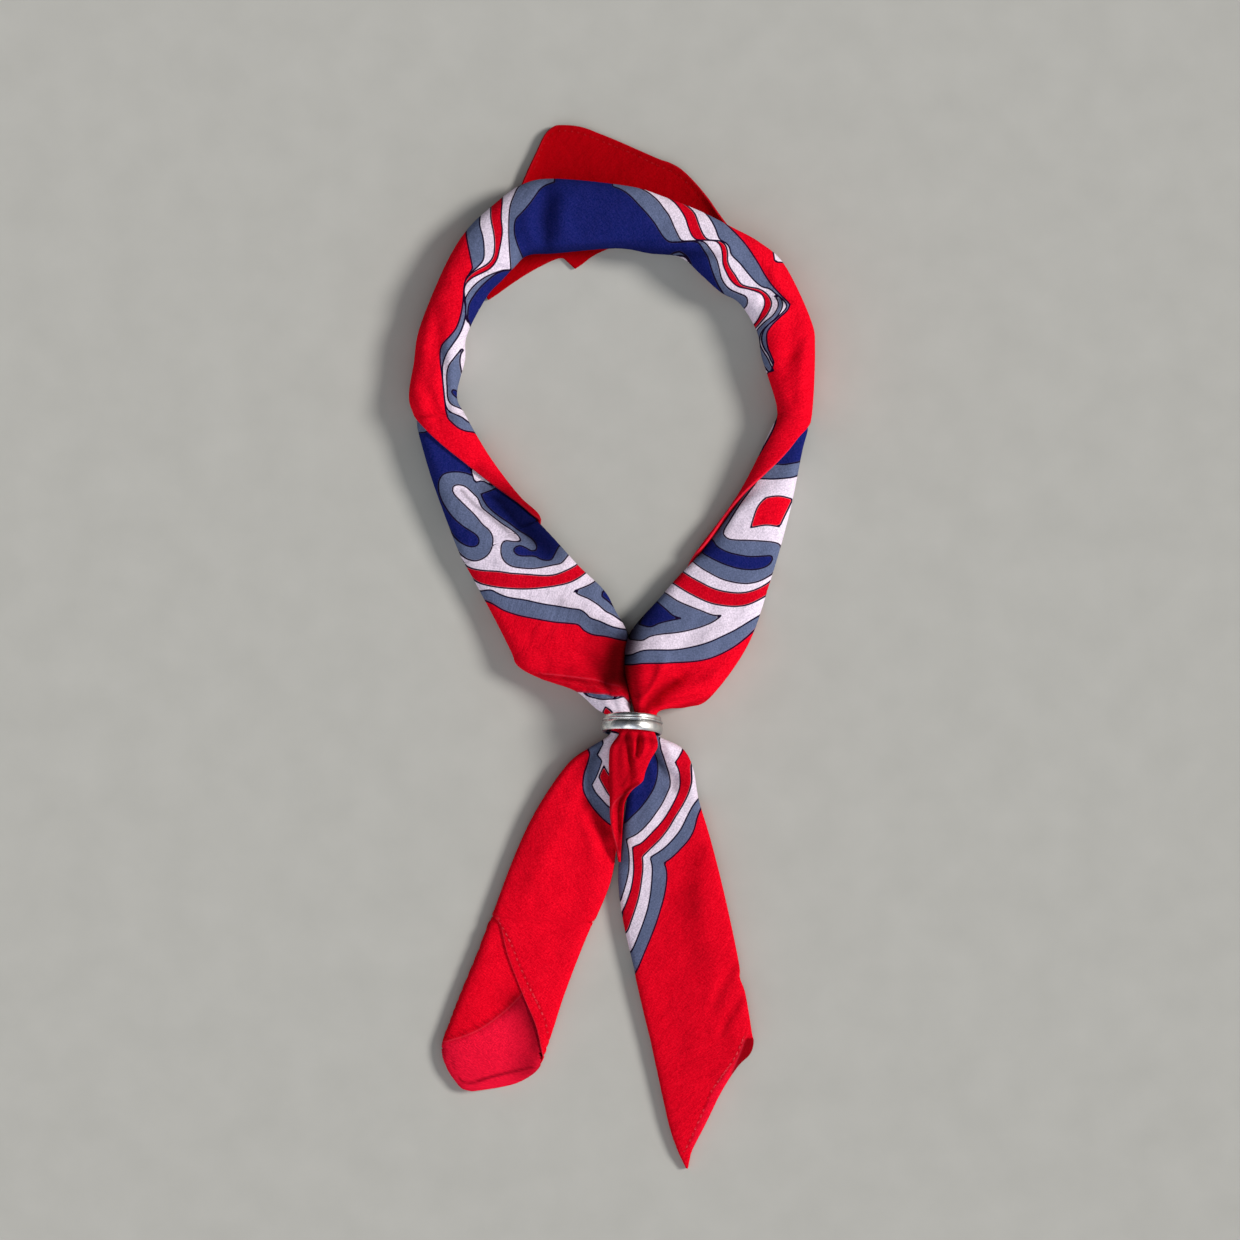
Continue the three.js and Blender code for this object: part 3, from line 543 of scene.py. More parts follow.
def rounded(text, closed=True):
    """A smooth line through drawn points that keeps its sharp corners."""
    points, sharp = drawn(text)
    count = len(points)
    line = []
    for i in range(count if closed else count - 1):
        here, there = points[i], points[(i + 1) % count]
        before = points[(i - 1) % count] if closed or i else here
        after = points[(i + 2) % count] if closed or i + 2 < count else there
        length = np.linalg.norm(there - here)
        leaving = there - (here if sharp[i] else before)
        arriving = (there if sharp[(i + 1) % count] else after) - here
        leaving = leaving / max(np.linalg.norm(leaving), TINY) * length
        arriving = arriving / max(np.linalg.norm(arriving), TINY) * length
        line += [curved(step / CURVE_STEPS, here, leaving, there, arriving)
                 for step in range(CURVE_STEPS)]
    if not closed:
        line.append(points[-1])
    return np.array(line)


def to_drawing(places):
    """Places in millimetres as points of the drawings."""
    return np.stack([places[..., 0] / UNIT + CENTRE[0], CENTRE[1] - places[..., 1] / UNIT], -1)


def from_drawing(points):
    """Points of the drawings as places in millimetres."""
    return np.stack([(points[..., 0] - CENTRE[0]) * UNIT, (CENTRE[1] - points[..., 1]) * UNIT], -1)


def way_along(line):
    """How far along a line each of its points lies."""
    return np.concatenate([[0], np.cumsum(np.hypot(*np.diff(line, axis=0).T))])


def line_distance(points, line, closed):
    """How far points are from a line, in its own units, the way along it to the nearest place
    and whether they lie on its left."""
    best = np.full(len(points), np.inf)
    along = np.zeros(len(points))
    left = np.zeros(len(points), bool)
    ends = np.roll(line, -1, axis=0) if closed else line[1:]
    way = 0.0
    for start, end in zip(line, ends):
        step = end - start
        length = math.hypot(*step)
        if length < TINY:
            continue
        share = np.clip(((points - start) @ step) / length**2, 0, 1)
        gap = np.hypot(*(points - start - share[:, None] * step).T)
        nearer = gap < best
        best = np.where(nearer, gap, best)
        along = np.where(nearer, way + share * length, along)
        turned = step[0] * (points[:, 1] - start[1]) - step[1] * (points[:, 0] - start[0])
        left = np.where(nearer, turned < 0, left)
        way += length
    return best, along, left


def inside(points, line):
    """Which points lie inside a closed line."""
    within = np.zeros(len(points), bool)
    for start, end in zip(line, np.roll(line, -1, axis=0)):
        spans = (start[1] > points[:, 1]) != (end[1] > points[:, 1])
        rise = end[1] - start[1] if end[1] != start[1] else TINY
        crossing = start[0] + (points[:, 1] - start[1]) * (end[0] - start[0]) / rise
        within ^= spans & (points[:, 0] < crossing)
    return within


def close_to(points, line, margin):
    """Which points lie in the box round a line, widened by a margin."""
    low, high = line.min(0) - margin, line.max(0) + margin
    return np.flatnonzero(((points > low) & (points < high)).all(1))


def printed(points, patches):
    """For each coat of ink, how far inside its patches each point is, in millimetres."""
    coats = np.full((len(INK_COATS), len(points)), FAR_OUTSIDE)
    for coat, text in patches:
        line = rounded(text)
        near = close_to(points, line, -FAR_OUTSIDE / UNIT)
        gap, _, _ = line_distance(points[near], line, True)
        depth = np.where(inside(points[near], line), gap, -gap) * UNIT
        row = coats[coat - 1]
        row[near] = np.maximum(row[near], np.clip(depth, FAR_OUTSIDE, -FAR_OUTSIDE))
    return coats


def completed(rows):
    """The rows of a table as an array, with the usual edge and gather where a row leaves them
    out."""
    return np.array([row + USUAL_EDGE_AND_GATHER[len(row) - EDGE:] for row in rows], float)


def placed(rows):
    """Rows whose places across the band are in drawing units, turned into millimetres."""
    rows = completed(rows)
    rows[:, 0:2] = from_drawing(rows[:, 0:2])
    rows[:, 2:4] = from_drawing(rows[:, 2:4])
    return rows


def dense(rows, spacing):
    """Sections between the rows of a table, not further apart than the spacing."""
    last = len(rows) - 1
    sections = []
    for i in range(last):
        before, here, there, after = (rows[min(max(k, 0), last)] for k in range(i - 1, i + 3))
        reach = max(math.dist(here[:2], there[:2]),
                    math.dist((here[:2] + here[2:4]) / 2, (there[:2] + there[2:4]) / 2))
        count = max(1, math.ceil(reach / spacing))
        sections += [curved(step / count, here, (there - before) / 2, there, (after - here) / 2)
                     for step in range(count)]
    sections = np.array(sections + [rows[last]])
    sections[:, FLOOR] = np.maximum(sections[:, FLOOR], 0)
    return sections


def powered(value, exponent):
    return np.sign(value) * np.abs(value) ** exponent


def flap_angle(edge, squareness):
    """Where the winding starts: 0 is the outer side, a quarter turn the top, a half the inner."""
    if edge < 0:
        return math.radians(edge * TUCKED_DEGREES)
    if edge > 1:
        return math.pi + math.radians((edge - 1) * TUCKED_DEGREES)
    return math.acos(float(powered(1 - 2 * edge, squareness / 2)))


def wound_section(section, points, squareness, busy):
    """One wound wall: places across and up its middle line, half its thickness, the angle, the
    drawing's place across the band and the way from the free edge."""
    height, edge, gather = section[[HEIGHT, EDGE, GATHER]]
    squareness += GATHERED_SQUARER * gather
    width = math.dist(section[0:2], section[2:4])
    wall = min(WALL, width * NARROW_SHARE, height * NARROW_SHARE)
    turn = 2 * math.pi
    wound = np.linspace(0, turn + math.radians(LAP), FINE_STEPS)
    sunk = eased(np.clip((wound - turn + math.radians(DIP)) / math.radians(DIP), 0, 1))
    under = (wall + WINDING_GAP * (wall / WALL)) * sunk
    angle = flap_angle(edge, squareness) + wound
    across = powered(np.cos(angle), 2 / squareness)
    up = powered(np.sin(angle), 2 / squareness)
    pressed = np.where(up < 0, np.maximum(up * FLATTENED, -1), up)
    pleats = gather * np.maximum(up, 0) * np.cos(across * math.pi * PLEATS) * PLEAT_DEPTH
    x = width / 2 + across * ((width - wall) / 2 - under)
    z = height / 2 + pressed * ((height - wall) / 2 - under) - pleats
    way = way_along(np.stack([x, z], -1))

    def way_at(degrees):
        return np.interp(math.radians(degrees), angle, way)

    band = np.where(angle < 0, width + way_at(0) - way, x)
    band = np.where(angle > math.pi, -(way - way_at(180)), band)
    front = angle >= 1.5 * math.pi
    band = np.where(front, np.where(angle < turn, width + way_at(360) - way, x), band)
    band = np.where(angle > 3 * math.pi, -(way - way_at(540)), band)

    radius = wall / 2
    rim = radius * RIM_SHARES
    shares = np.linspace(0, 1, points - len(rim))
    low, high, density = busy
    weight = np.cumsum(np.where((shares > low) & (shares < high), density, 1.0)) - 1
    even = np.interp(shares, weight / weight[-1], shares)
    chosen = np.concatenate([rim, radius + even * (way[-1] - radius)])

    def pick(values):
        return np.interp(chosen, way, values)

    px, pz = pick(x), pick(z)
    dx, dz = np.gradient(px, chosen), np.gradient(pz, chosen)
    size = np.maximum(np.hypot(dx, dz), TINY)
    half = np.sqrt(np.clip(radius**2 - np.maximum(radius - chosen, 0) ** 2, 0, None))
    half = np.maximum(half, THIN_RIM * radius)
    return {"x": px, "z": pz, "nx": dz / size, "nz": -dx / size, "half": half,
            "angle": pick(angle), "band": pick(band), "front": pick(front.astype(float)) > 0.5,
            "way": chosen}


def soft_noise(places, size, seed):
    """Smooth waves, about as long as the size, at each place."""
    shift = Vector((seed * 17.3, seed * 5.1, seed * 9.7))
    return np.array([noise.noise(Vector(p) / size + shift) for p in places])


def end_fade(along, line, share):
    """Grows from 0 at both ends of a line to 1, over a share of its length."""
    length = way_along(line)[-1]
    return np.clip(np.minimum(along, length - along) / (share * length), 0, 1)


def fold_depths(points, folds):
    """Heights of the creases and ridges at each point, weaker towards their ends."""
    depth = np.zeros(len(points))
    for text, half_width, height in folds:
        line = rounded(text, closed=False)
        near = close_to(points, line, 3 * half_width / UNIT)
        gap, along, _ = line_distance(points[near], line, False)
        depth[near] += (height * np.exp(-(gap * UNIT / half_width) ** 2)
                        * (0.25 + 0.75 * eased(end_fade(along, line, 0.25))))
    return depth


def step_heights(points, steps):
    """Heights of the cloth beside folded edges, raised on the left of each line."""
    height = np.zeros(len(points))
    for text, drop, reach in steps:
        line = rounded(text, closed=False)
        near = close_to(points, line, 4 * reach / UNIT)
        gap, along, left = line_distance(points[near], line, False)
        signed = np.where(left, gap, -gap) * UNIT
        edge = np.clip(signed / STEP_WIDTH + 0.5, 0, 1)
        height[near] += (drop * end_fade(along, line, 0.12) * edge
                         * np.exp(-np.maximum(signed, 0) / reach))
    return height


def nearest_way(points, lines):
    """Distance in millimetres to the nearest of some drawn lines, above 0 on its left and below
    0 on its right, and the way along it."""
    gap = np.full(len(points), FAR_SEAM)
    way = np.zeros(len(points))
    for text in lines:
        off, along, left = line_distance(points, rounded(text, closed=False), False)
        nearer = off * UNIT < np.abs(gap)
        gap = np.where(nearer, np.where(left, off, -off) * UNIT, gap)
        way = np.where(nearer, along * UNIT, way)
    return gap, way


def tinted(points, front, tints):
    """How much of the turned cloth's lighter colour, and of the painted shade in folds, gaps and
    under edges, each point has, from tables where the first is above 0 and the second below 0."""
    turned, painted_shade = np.zeros(len(points)), np.zeros(len(points))
    for layer, strength, half_width, text in tints:
        where = {"all": 1, "flap": ~front, "under": front}[layer]
        line = rounded(text, closed=not half_width)
        gap, _, _ = line_distance(points, line, not half_width)
        gap *= UNIT
        if half_width:
            share = np.exp(-(gap / half_width) ** 2)
        else:
            share = np.clip(np.where(inside(points, line), gap, -gap) / TINT_BLUR + 0.5, 0, 1)
        turned += where * max(strength, 0) * share
        # Below 0 a tint is painted shade, darkening the colour in folds, gaps and under edges
        painted_shade = painted_shade + (1 - painted_shade) * where * max(-strength, 0) * share
    return np.clip(turned, 0, 1), painted_shade


def cloth_marks(points, front, left, prints, hems, edge_highlight, tints):
    """The print, hems, painted highlights along edges and tints at each point of a rolled piece,
    by name. The prints are those of the flap, of the cloth under it at the left and of that at the
    right."""
    coats = np.full((len(INK_COATS), len(points)), FAR_OUTSIDE)
    for patches, where in zip(prints, (~front, front & left, front & ~left)):
        coats[:, where] = printed(points[where], patches)
    marks = {f"ink_{i + 1}": coat for i, coat in enumerate(coats)}
    marks["fold_edge"], _ = nearest_way(points, edge_highlight)
    marks["turned"], marks["painted_shade"] = tinted(points, front, tints)
    marks["seam"], marks["seam_way"] = np.full(len(points), FAR_SEAM), np.zeros(len(points))
    marks["seam"][~front], marks["seam_way"][~front] = nearest_way(points[~front], hems)
    return marks


def wound_faces(count, points):
    """Faces round a rolled wall from section to section, and across it at both ends."""
    around = 2 * points
    i, j = np.meshgrid(np.arange(count - 1), np.arange(around), indexing="ij")
    after = (j + 1) % around
    faces = np.stack([i * around + j, i * around + after, (i + 1) * around + after,
                      (i + 1) * around + j], -1).reshape(-1, 4).tolist()
    last = (count - 1) * around
    for j in range(points - 1):
        far = around - 1 - j
        faces.append((far, far - 1, j + 1, j))
        faces.append((last + j, last + j + 1, last + far - 1, last + far))
    return faces


def both_sides(values):
    """Values along a wall's outer side, then back along its inner side, as one row."""
    return np.concatenate([values, values[:, ::-1]], 1).reshape(-1)


def wound_piece(name, rows, spacing, points, squareness, busy, waves, prints, folds, steps,
                hems, edge_highlight, tints):
    """A rolled piece of cloth with its print, folds, hems and weave directions. busy is where
    along the winding its points stand closer, from, to and how much; waves are a broad and a
    fine wave's length and their height."""
    sections = dense(rows, spacing)
    count = len(sections)
    parts = [wound_section(section, points, squareness, busy) for section in sections]
    stack = {key: np.stack([part[key] for part in parts]) for key in parts[0]}
    outer, inner = sections[:, 0:2], sections[:, 2:4]
    across = (outer - inner) / np.linalg.norm(outer - inner, axis=1)[:, None]

    def on_ground(x):
        return inner[:, None, :] + x[..., None] * across[:, None, :]

    drawing = to_drawing(on_ground(stack["band"])).reshape(-1, 2)
    height = sections[:, FLOOR, None] + stack["z"]
    spots = np.concatenate([on_ground(stack["x"]), height[..., None]], -1).reshape(-1, 3)
    broad, fine, strength = waves
    ripple = strength * (soft_noise(spots, broad, 1) + FINE_WAVE * soft_noise(spots, fine, 2))
    lift = fold_depths(drawing, folds) + step_heights(drawing, steps) + ripple
    lift = np.clip(np.sin(stack["angle"]), 0, 1) ** LIFT_POWER * lift.reshape(count, points)
    sides = []
    for side in (1, -1):
        ground = on_ground(stack["x"] + side * stack["half"] * stack["nx"])
        z = height + side * stack["half"] * stack["nz"] + lift
        sides.append(np.concatenate([ground, np.maximum(z, LOWEST)[..., None]], -1))
    places = np.concatenate([sides[0], sides[1][:, ::-1]], 1).reshape(-1, 3)

    front = stack["front"].reshape(-1)
    left = np.repeat(np.arange(count) < count / 2, points)
    marks = cloth_marks(drawing, front, left, prints, hems, edge_highlight, tints)
    marks["free_edge"] = stack["way"].reshape(-1)
    attributes = {key: both_sides(mark.reshape(count, points)) for key, mark in marks.items()}
    right_side = np.zeros((count, points))
    attributes["wrong_side"] = np.concatenate([right_side, right_side + 1], 1).reshape(-1)
    along = way_along((outer + inner) / 2)[:, None]
    uv = np.stack([both_sides((along + stack["way"]) / math.sqrt(2)),
                   both_sides((along - stack["way"]) / math.sqrt(2))], -1)
    return cloth_mesh(name, places, wound_faces(count, points), attributes, uv)


def cloth_mesh(name, places, faces, attributes, uv):
    """An object of smooth cloth, facing outwards, with its attributes and its weave's UV map."""
    mesh = bpy.data.meshes.new(name)
    mesh.from_pydata((np.asarray(places) * MM).tolist(), [], faces)
    mesh.update()
    for key, values in attributes.items():
        mesh.attributes.new(key, "FLOAT", "POINT").data.foreach_set(
            "value", np.asarray(values, np.float32))
    layer = mesh.uv_layers.new(name="weave")
    corners = np.zeros(len(mesh.loops), np.int32)
    mesh.loops.foreach_get("vertex_index", corners)
    layer.data.foreach_set("uv", (uv[corners] * MM).astype(np.float32).reshape(-1))
    piece = bpy.data.objects.new(name, mesh)
    bpy.context.scene.collection.objects.link(piece)
    bpy.ops.object.select_all(action="DESELECT")
    piece.select_set(True)
    bpy.context.view_layer.objects.active = piece
    bpy.ops.object.mode_set(mode="EDIT")
    bpy.ops.mesh.select_all(action="SELECT")
    bpy.ops.mesh.normals_make_consistent(inside=False)
    bpy.ops.object.mode_set(mode="OBJECT")
    mesh.polygons.foreach_set("use_smooth", np.ones(len(mesh.polygons), bool))
    piece.select_set(False)
    return piece


class Value:
    """A number in a node tree; arithmetic on it adds Math nodes."""

    def __init__(self, nodes, socket):
        self.nodes = nodes
        self.socket = socket

    def math(self, operation, *others, clamp=False):
        node = self.nodes.node("ShaderNodeMath", {"operation": operation, "use_clamp": clamp},
                               dict(enumerate((self, *others))))
        return Value(self.nodes, node.outputs[0])

    def __add__(self, other):
        return self.math("ADD", other)

    def __sub__(self, other):
        return self.math("SUBTRACT", other)

    def __mul__(self, other):
        return self.math("MULTIPLY", other)

    def __rsub__(self, other):
        return (self * -1).math("ADD", other)

    __radd__ = __add__
    __rmul__ = __mul__

    def size(self):
        return self.math("ABSOLUTE")

    def sine(self):
        return self.math("SINE")

    def limited(self):
        return self.math("MULTIPLY", 1, clamp=True)


class Nodes:
    """A node tree that nodes are added to."""

    def __init__(self, tree):
        self.tree = tree

    def node(self, kind, settings=(), values=()):
        node = self.tree.nodes.new(kind)
        for key, setting in dict(settings).items():
            setattr(node, key, setting)
        for key, value in dict(values).items():
            self.join(value, node.inputs[key])
        return node

    def join(self, value, socket):
        if isinstance(value, Value):
            value = value.socket
        if isinstance(value, bpy.types.NodeSocket):
            self.tree.links.new(value, socket)
        else:
            socket.default_value = value


class Finish(Nodes):
    """A material built from nodes round one Principled shader."""

    def __init__(self, name):
        self.material = bpy.data.materials.new(name)
        self.material.use_nodes = True
        super().__init__(self.material.node_tree)
        self.shader = self.tree.nodes["Principled BSDF"]

    def attribute(self, name):
        node = self.node("ShaderNodeAttribute", {"attribute_name": name})
        return Value(self, node.outputs["Fac"])

    def mix(self, share, first, second, kind="MIX"):
        node = self.node("ShaderNodeMix", {"data_type": "RGBA", "blend_type": kind},
                         {0: share, 6: first, 7: second})
        return node.outputs[2]

    def noise(self, vector, scale, detail=2.0, roughness=0.5):
        node = self.node("ShaderNodeTexNoise", {}, {
            "Vector": vector, "Scale": scale, "Detail": detail, "Roughness": roughness})
        return Value(self, node.outputs[0])

    def stretched(self, vector, scale):
        node = self.node("ShaderNodeMapping", {}, {"Vector": vector, "Scale": scale})
        return node.outputs[0]

    def bumped(self, strength, distance, height, **more):
        node = self.node("ShaderNodeBump", {}, {
            "Strength": strength, "Distance": distance, "Height": height, **more})
        return node.outputs[0]

    def finished(self, colour, **others):
        """Sets the shader's colour and its other named sockets, and gives the material."""
        self.join(colour, self.shader.inputs["Base Color"])
        for name, value in others.items():
            self.join(value, self.shader.inputs[name.replace("_", " ")])
        return self.material


def linear(red, green, blue):
    """A colour given as on screen, 0 to 255, as the shader takes it."""
    def channel(value):
        value /= 255
        return value / 12.92 if value <= 0.04045 else ((value + 0.055) / 1.055) ** 2.4
    return (channel(red), channel(green), channel(blue), 1.0)


INKS = {
    "red": linear(238, 0, 30),
    "stripe": linear(216, 0, 28),
    "slate": linear(98, 110, 142),
    "white": linear(240, 226, 243),
    "navy": linear(16, 32, 104),
    "outline": linear(14, 6, 40),
    "fold_highlight": linear(255, 52, 76),
    "wrong_side": linear(160, 0, 4),
    # The next colour is painted shade, darkening the groove along a hem
    "painted_groove_shade": linear(150, 0, 10),
    "stitch": linear(255, 112, 124),
    "turned": linear(255, 30, 74),
}
OUTLINE_HALF = 0.27            # millimetres
INK_BLEED = 0.14
THREAD = 0.00040               # metres from one thread to the next
SLUB_LENGTH = 0.003
MOTTLE_SCALE = 1700.0          # noises, in waves to a metre
FLECK_SCALE = 1500.0
PATCH_SCALE = 120.0
CRUMPLE_SCALE = 240.0
CREASE_SCALES = (50, 190, 1)
FOLD_EDGE = 0.5                # millimetres of painted highlight, a lighter line, at a folded edge
STITCH = 2.4                   # millimetres from one stitch to the next
THREAD_HALF = 0.26
GROOVE_HALF = 0.9


def printed_cotton():
    """Plain-weave cotton with a print in four inks, outlined in near black, with painted
    highlights along edges and painted shade in folds and hem grooves.
    """
    finish = Finish("printed_cotton")
    weave = finish.node("ShaderNodeUVMap", {"uv_map": "weave"}).outputs[0]
    colour = INKS["red"]
    for coat, ink in enumerate(INK_COATS):
        depth = finish.attribute(f"ink_{coat + 1}")
        line = ((OUTLINE_HALF - depth.size()) * (1 / INK_BLEED) + 0.5).limited()
        patch = ((depth - OUTLINE_HALF) * (1 / INK_BLEED) + 0.5).limited()
        colour = finish.mix(line, colour, INKS["outline"])
        colour = finish.mix(patch, colour, INKS[ink])

    # Threads, thicker stretches of them, and unevenness from fine to broad
    parts = finish.node("ShaderNodeSeparateXYZ", {}, {0: weave})
    turns = 2 * math.pi / THREAD
    threads = ((Value(finish, parts.outputs[0]) * turns).sine()
               * (Value(finish, parts.outputs[1]) * turns).sine())
    slubs = (finish.noise(finish.stretched(weave, (1 / SLUB_LENGTH, 1 / THREAD, 1)), 1.0)
             + finish.noise(finish.stretched(weave, (1 / THREAD, 1 / SLUB_LENGTH, 1)), 1.0))
    mottle = finish.noise(weave, MOTTLE_SCALE, 2.0, 0.6)
    patches = finish.noise(weave, PATCH_SCALE, 3.0, 0.6)
    crumple = (finish.noise(weave, CRUMPLE_SCALE, 3.0, 0.55)
               + finish.noise(finish.stretched(weave, CREASE_SCALES), 1.0, 3.0, 0.6) * 1.3)
    flecks = ((finish.noise(weave, FLECK_SCALE, 2.0, 0.7) - 0.56) * 7.0).limited()
    shade = ((slubs - 1.0) * 0.9 + (mottle - 0.5) * 2.2 + (patches - 0.5) * 0.4
             + flecks * 0.6 + 0.38).limited()
    colour = finish.mix(finish.attribute("turned"), colour, INKS["turned"])
    darker = finish.mix(1.0, colour, (0.78, 0.77, 0.79, 1), "MULTIPLY")
    lighter = finish.mix(1.0, colour, (1.18, 1.18, 1.18, 1), "MULTIPLY")
    lighter = finish.mix(1.0, lighter, (0.014, 0.005, 0.01, 1), "ADD")
    colour = finish.mix(shade, darker, lighter)

    # Painted highlights at free and folded edges, stitched hems with painted shade in their
    # grooves, the unprinted side and painted shade in folds
    # Painted highlight: a lighter pink line along the free edges, as on a rounded edge catching
    # light
    edge_highlight = ((FOLD_EDGE - finish.attribute("free_edge")) * 2.2).limited() * 0.6
    colour = finish.mix(edge_highlight, colour, INKS["fold_highlight"])
    # Painted highlight along the listed folded edges
    folded = ((FOLD_EDGE * 0.8 - finish.attribute("fold_edge").size()) * 3.0).limited() * 0.6
    colour = finish.mix(folded, colour, INKS["fold_highlight"])
    seam = finish.attribute("seam").size()
    dashes = ((finish.attribute("seam_way") * (2 * math.pi / STITCH)).sine() * 2
              + (patches - 0.5) * 14 + 0.3).limited()
    thread = ((THREAD_HALF - seam) * 6.0 + 0.5).limited() * dashes
    groove = ((GROOVE_HALF - seam) * 1.2).limited()
    # Painted shade: a darker red band along each hem's groove
    colour = finish.mix(groove * 0.4, colour, INKS["painted_groove_shade"])
    ravelled = ((mottle - 0.42) * 6.0).limited()
    colour = finish.mix(thread * ravelled * 0.35, colour, INKS["stitch"])
    colour = finish.mix(finish.attribute("wrong_side") * 0.8, colour, INKS["wrong_side"])
    # Painted shade: the colour is darkened towards near black where the tables paint it
    shadowed = finish.mix(1.0, colour, (0.05, 0.02, 0.035, 1), "MULTIPLY")
    colour = finish.mix(finish.attribute("painted_shade"), colour, shadowed)

    relief = threads * 0.3 + slubs * 0.6 + mottle * 0.5 + thread * 0.8 - groove * 0.9
    fine = finish.bumped(0.4, 0.0004, relief)
    return finish.finished(colour, Normal=finish.bumped(0.3, 0.0016, crumple, Normal=fine),
                           Roughness=0.95, Specular_IOR_Level=0.02)


def polished_steel():
    """Silver-coloured metal, scratched by wear, with painted blue-grey reflections and painted
    shade that makes it darker towards the ring's sides, where it is also duller.
    """
    finish = Finish("polished_steel")
    places = finish.node("ShaderNodeTexCoord").outputs["Object"]
    scratches = finish.noise(finish.stretched(places, (240, 2600, 240)), 1.0, 3.0)
    dulled = finish.noise(places, 260.0, 2.0)
    sides = finish.node("ShaderNodeSeparateXYZ", {}, {0: places})
    # Painted shade: the base colour darkens, and the metal roughens, away from a point left of the
    # middle, dimming the ring's ends and the sun's highlight, broken up by noise
    aside = (Value(finish, sides.outputs[0]) - (RING_CENTRE[0] - BRIGHTEST_LEFT)).size()
    painted_shade_and_dullness = ((aside * (1 / RING_OUTER) - 0.5) * 3.6 + (scratches - 0.5) * 1.6
               + (dulled - 0.5) * 1.2).limited()
    # Painted reflection: random blue-grey patches in the base colour
    painted_reflections = ((finish.noise(places, 420.0, 2.0) - 0.48) * 7.0).limited()
    unshaded_metal = finish.mix(painted_reflections * 0.6, (0.95, 0.94, 0.93, 1), (0.42, 0.47, 0.55, 1))
    colour = finish.mix(painted_shade_and_dullness * 0.7, unshaded_metal, (0.27, 0.25, 0.23, 1))
    return finish.finished(colour, Metallic=1.0,
                           Roughness=scratches * 0.16 + dulled * 0.14 + painted_shade_and_dullness * 0.3 + 0.08,
                           Normal=finish.bumped(0.3, 0.00015, dulled + scratches * 0.4))


def back_corner():
    """The free corner of the square, one sheet that lies under the roll at the back."""
    outer = from_drawing(rounded(CORNER_OUTER, closed=False))
    inner = from_drawing(rounded(CORNER_INNER, closed=False))
    columns, rows = CORNER_GRID

    def spread(line):
        way = way_along(line)
        even = np.linspace(0, way[-1], columns)
        return np.stack([np.interp(even, way, line[:, k]) for k in (0, 1)], -1)

    outer, inner = spread(outer), spread(inner)
    share = np.linspace(0, 1, rows)[None, :, None]
    ground = (inner[:, None, :] * (1 - share) + outer[:, None, :] * share).reshape(-1, 2)
    spots = np.concatenate([ground, np.zeros((len(ground), 1))], 1)
    free = np.broadcast_to(share[..., 0], (columns, rows)).reshape(-1)
    wide = np.clip(np.linalg.norm(outer - inner, axis=1) / CORNER_LIFTED_WIDTH, 0, 1)
    lift = np.repeat(wide, rows) * np.clip((free - 0.55) / 0.45, 0, 1) ** 2
    z = 0.5 + lift * (1.6 + 1.4 * soft_noise(spots, 22, 5)) + 0.12 * soft_noise(spots, 6, 6)
    attributes = {f"ink_{i + 1}": np.full(len(ground), FAR_OUTSIDE)
                  for i in range(len(INK_COATS))}
    attributes["free_edge"], _, _ = line_distance(ground, outer, False)
    attributes["seam"], attributes["seam_way"] = nearest_way(to_drawing(ground), CORNER_HEMS)
    # The whole sheet is darkened by a tenth of the painted shade and takes the darker wrong-side
    # red
    for key, value in (("fold_edge", FAR_SEAM), ("turned", 0), ("painted_shade", 0.1), ("wrong_side", 1)):
        attributes[key] = np.full(len(ground), value)
    x, y = ground.T
    uv = np.stack([x + y, x - y], -1) / math.sqrt(2)
    i, j = np.meshgrid(np.arange(columns - 1), np.arange(rows - 1), indexing="ij")
    corner = i * rows + j
    faces = np.stack([corner, corner + rows, corner + rows + 1, corner + 1], -1).reshape(-1, 4)
    places = np.concatenate([ground, np.maximum(z, CORNER_LOWEST)[:, None]], 1)
    piece = cloth_mesh("back_corner_cloth", places, faces.tolist(), attributes, uv)
    thick = piece.modifiers.new("thickness", "SOLIDIFY")
    thick.thickness = CORNER_SHEET * MM
    thick.offset = 0
    bpy.context.view_layer.objects.active = piece
    bpy.ops.object.modifier_apply(modifier="thickness")
    return piece


def spun_round(first, last, low, high, corners):
    """Adds a rounded section on top of the bore and spins it round, in edit mode."""
    x, y, z = RING_CENTRE
    bpy.ops.mesh.select_all(action="DESELECT")
    bpy.ops.mesh.primitive_circle_add(vertices=corners, radius=0.5, fill_type="NOTHING",
                                      location=(x, y + (first + last) / 2, z + (low + high) / 2),
                                      rotation=(0, math.pi / 2, 0))
    bpy.ops.transform.resize(value=(1, last - first, high - low), orient_type="GLOBAL")
    bpy.ops.mesh.spin(steps=120, angle=2 * math.pi, center=RING_CENTRE, axis=(0, 1, 0))


def slide_ring():
    """The ring: a rounded band, a collar and the fine bead between them, spun round the bore."""
    bpy.ops.object.select_all(action="DESELECT")
    bpy.ops.mesh.primitive_plane_add(size=0.001, location=(0, 0, 0))
    ring = bpy.context.object
    ring.name = ring.data.name = "slide_ring_band"
    bpy.ops.object.mode_set(mode="EDIT")
    bpy.ops.mesh.select_all(action="SELECT")
    bpy.ops.mesh.delete(type="VERT")
    spun_round(*BAND, RING_BORE, RING_OUTER, 32)
    spun_round(*COLLAR, RING_BORE, RING_OUTER - COLLAR_STEP, 12)
    spun_round(*BEAD, RING_OUTER - BEAD_DEPTH, RING_OUTER, 16)
    bpy.ops.mesh.select_all(action="SELECT")
    bpy.ops.mesh.remove_doubles(threshold=0.000001)
    bpy.ops.mesh.normals_make_consistent(inside=False)
    for degrees, axis in ((RING_TILT, "X"), (RING_TURN, "Z")):
        bpy.ops.transform.rotate(value=math.radians(degrees), orient_axis=axis,
                                 center_override=RING_CENTRE)
    bpy.ops.object.mode_set(mode="OBJECT")
    bpy.ops.object.shade_smooth_by_angle(angle=math.radians(50))
    return ring


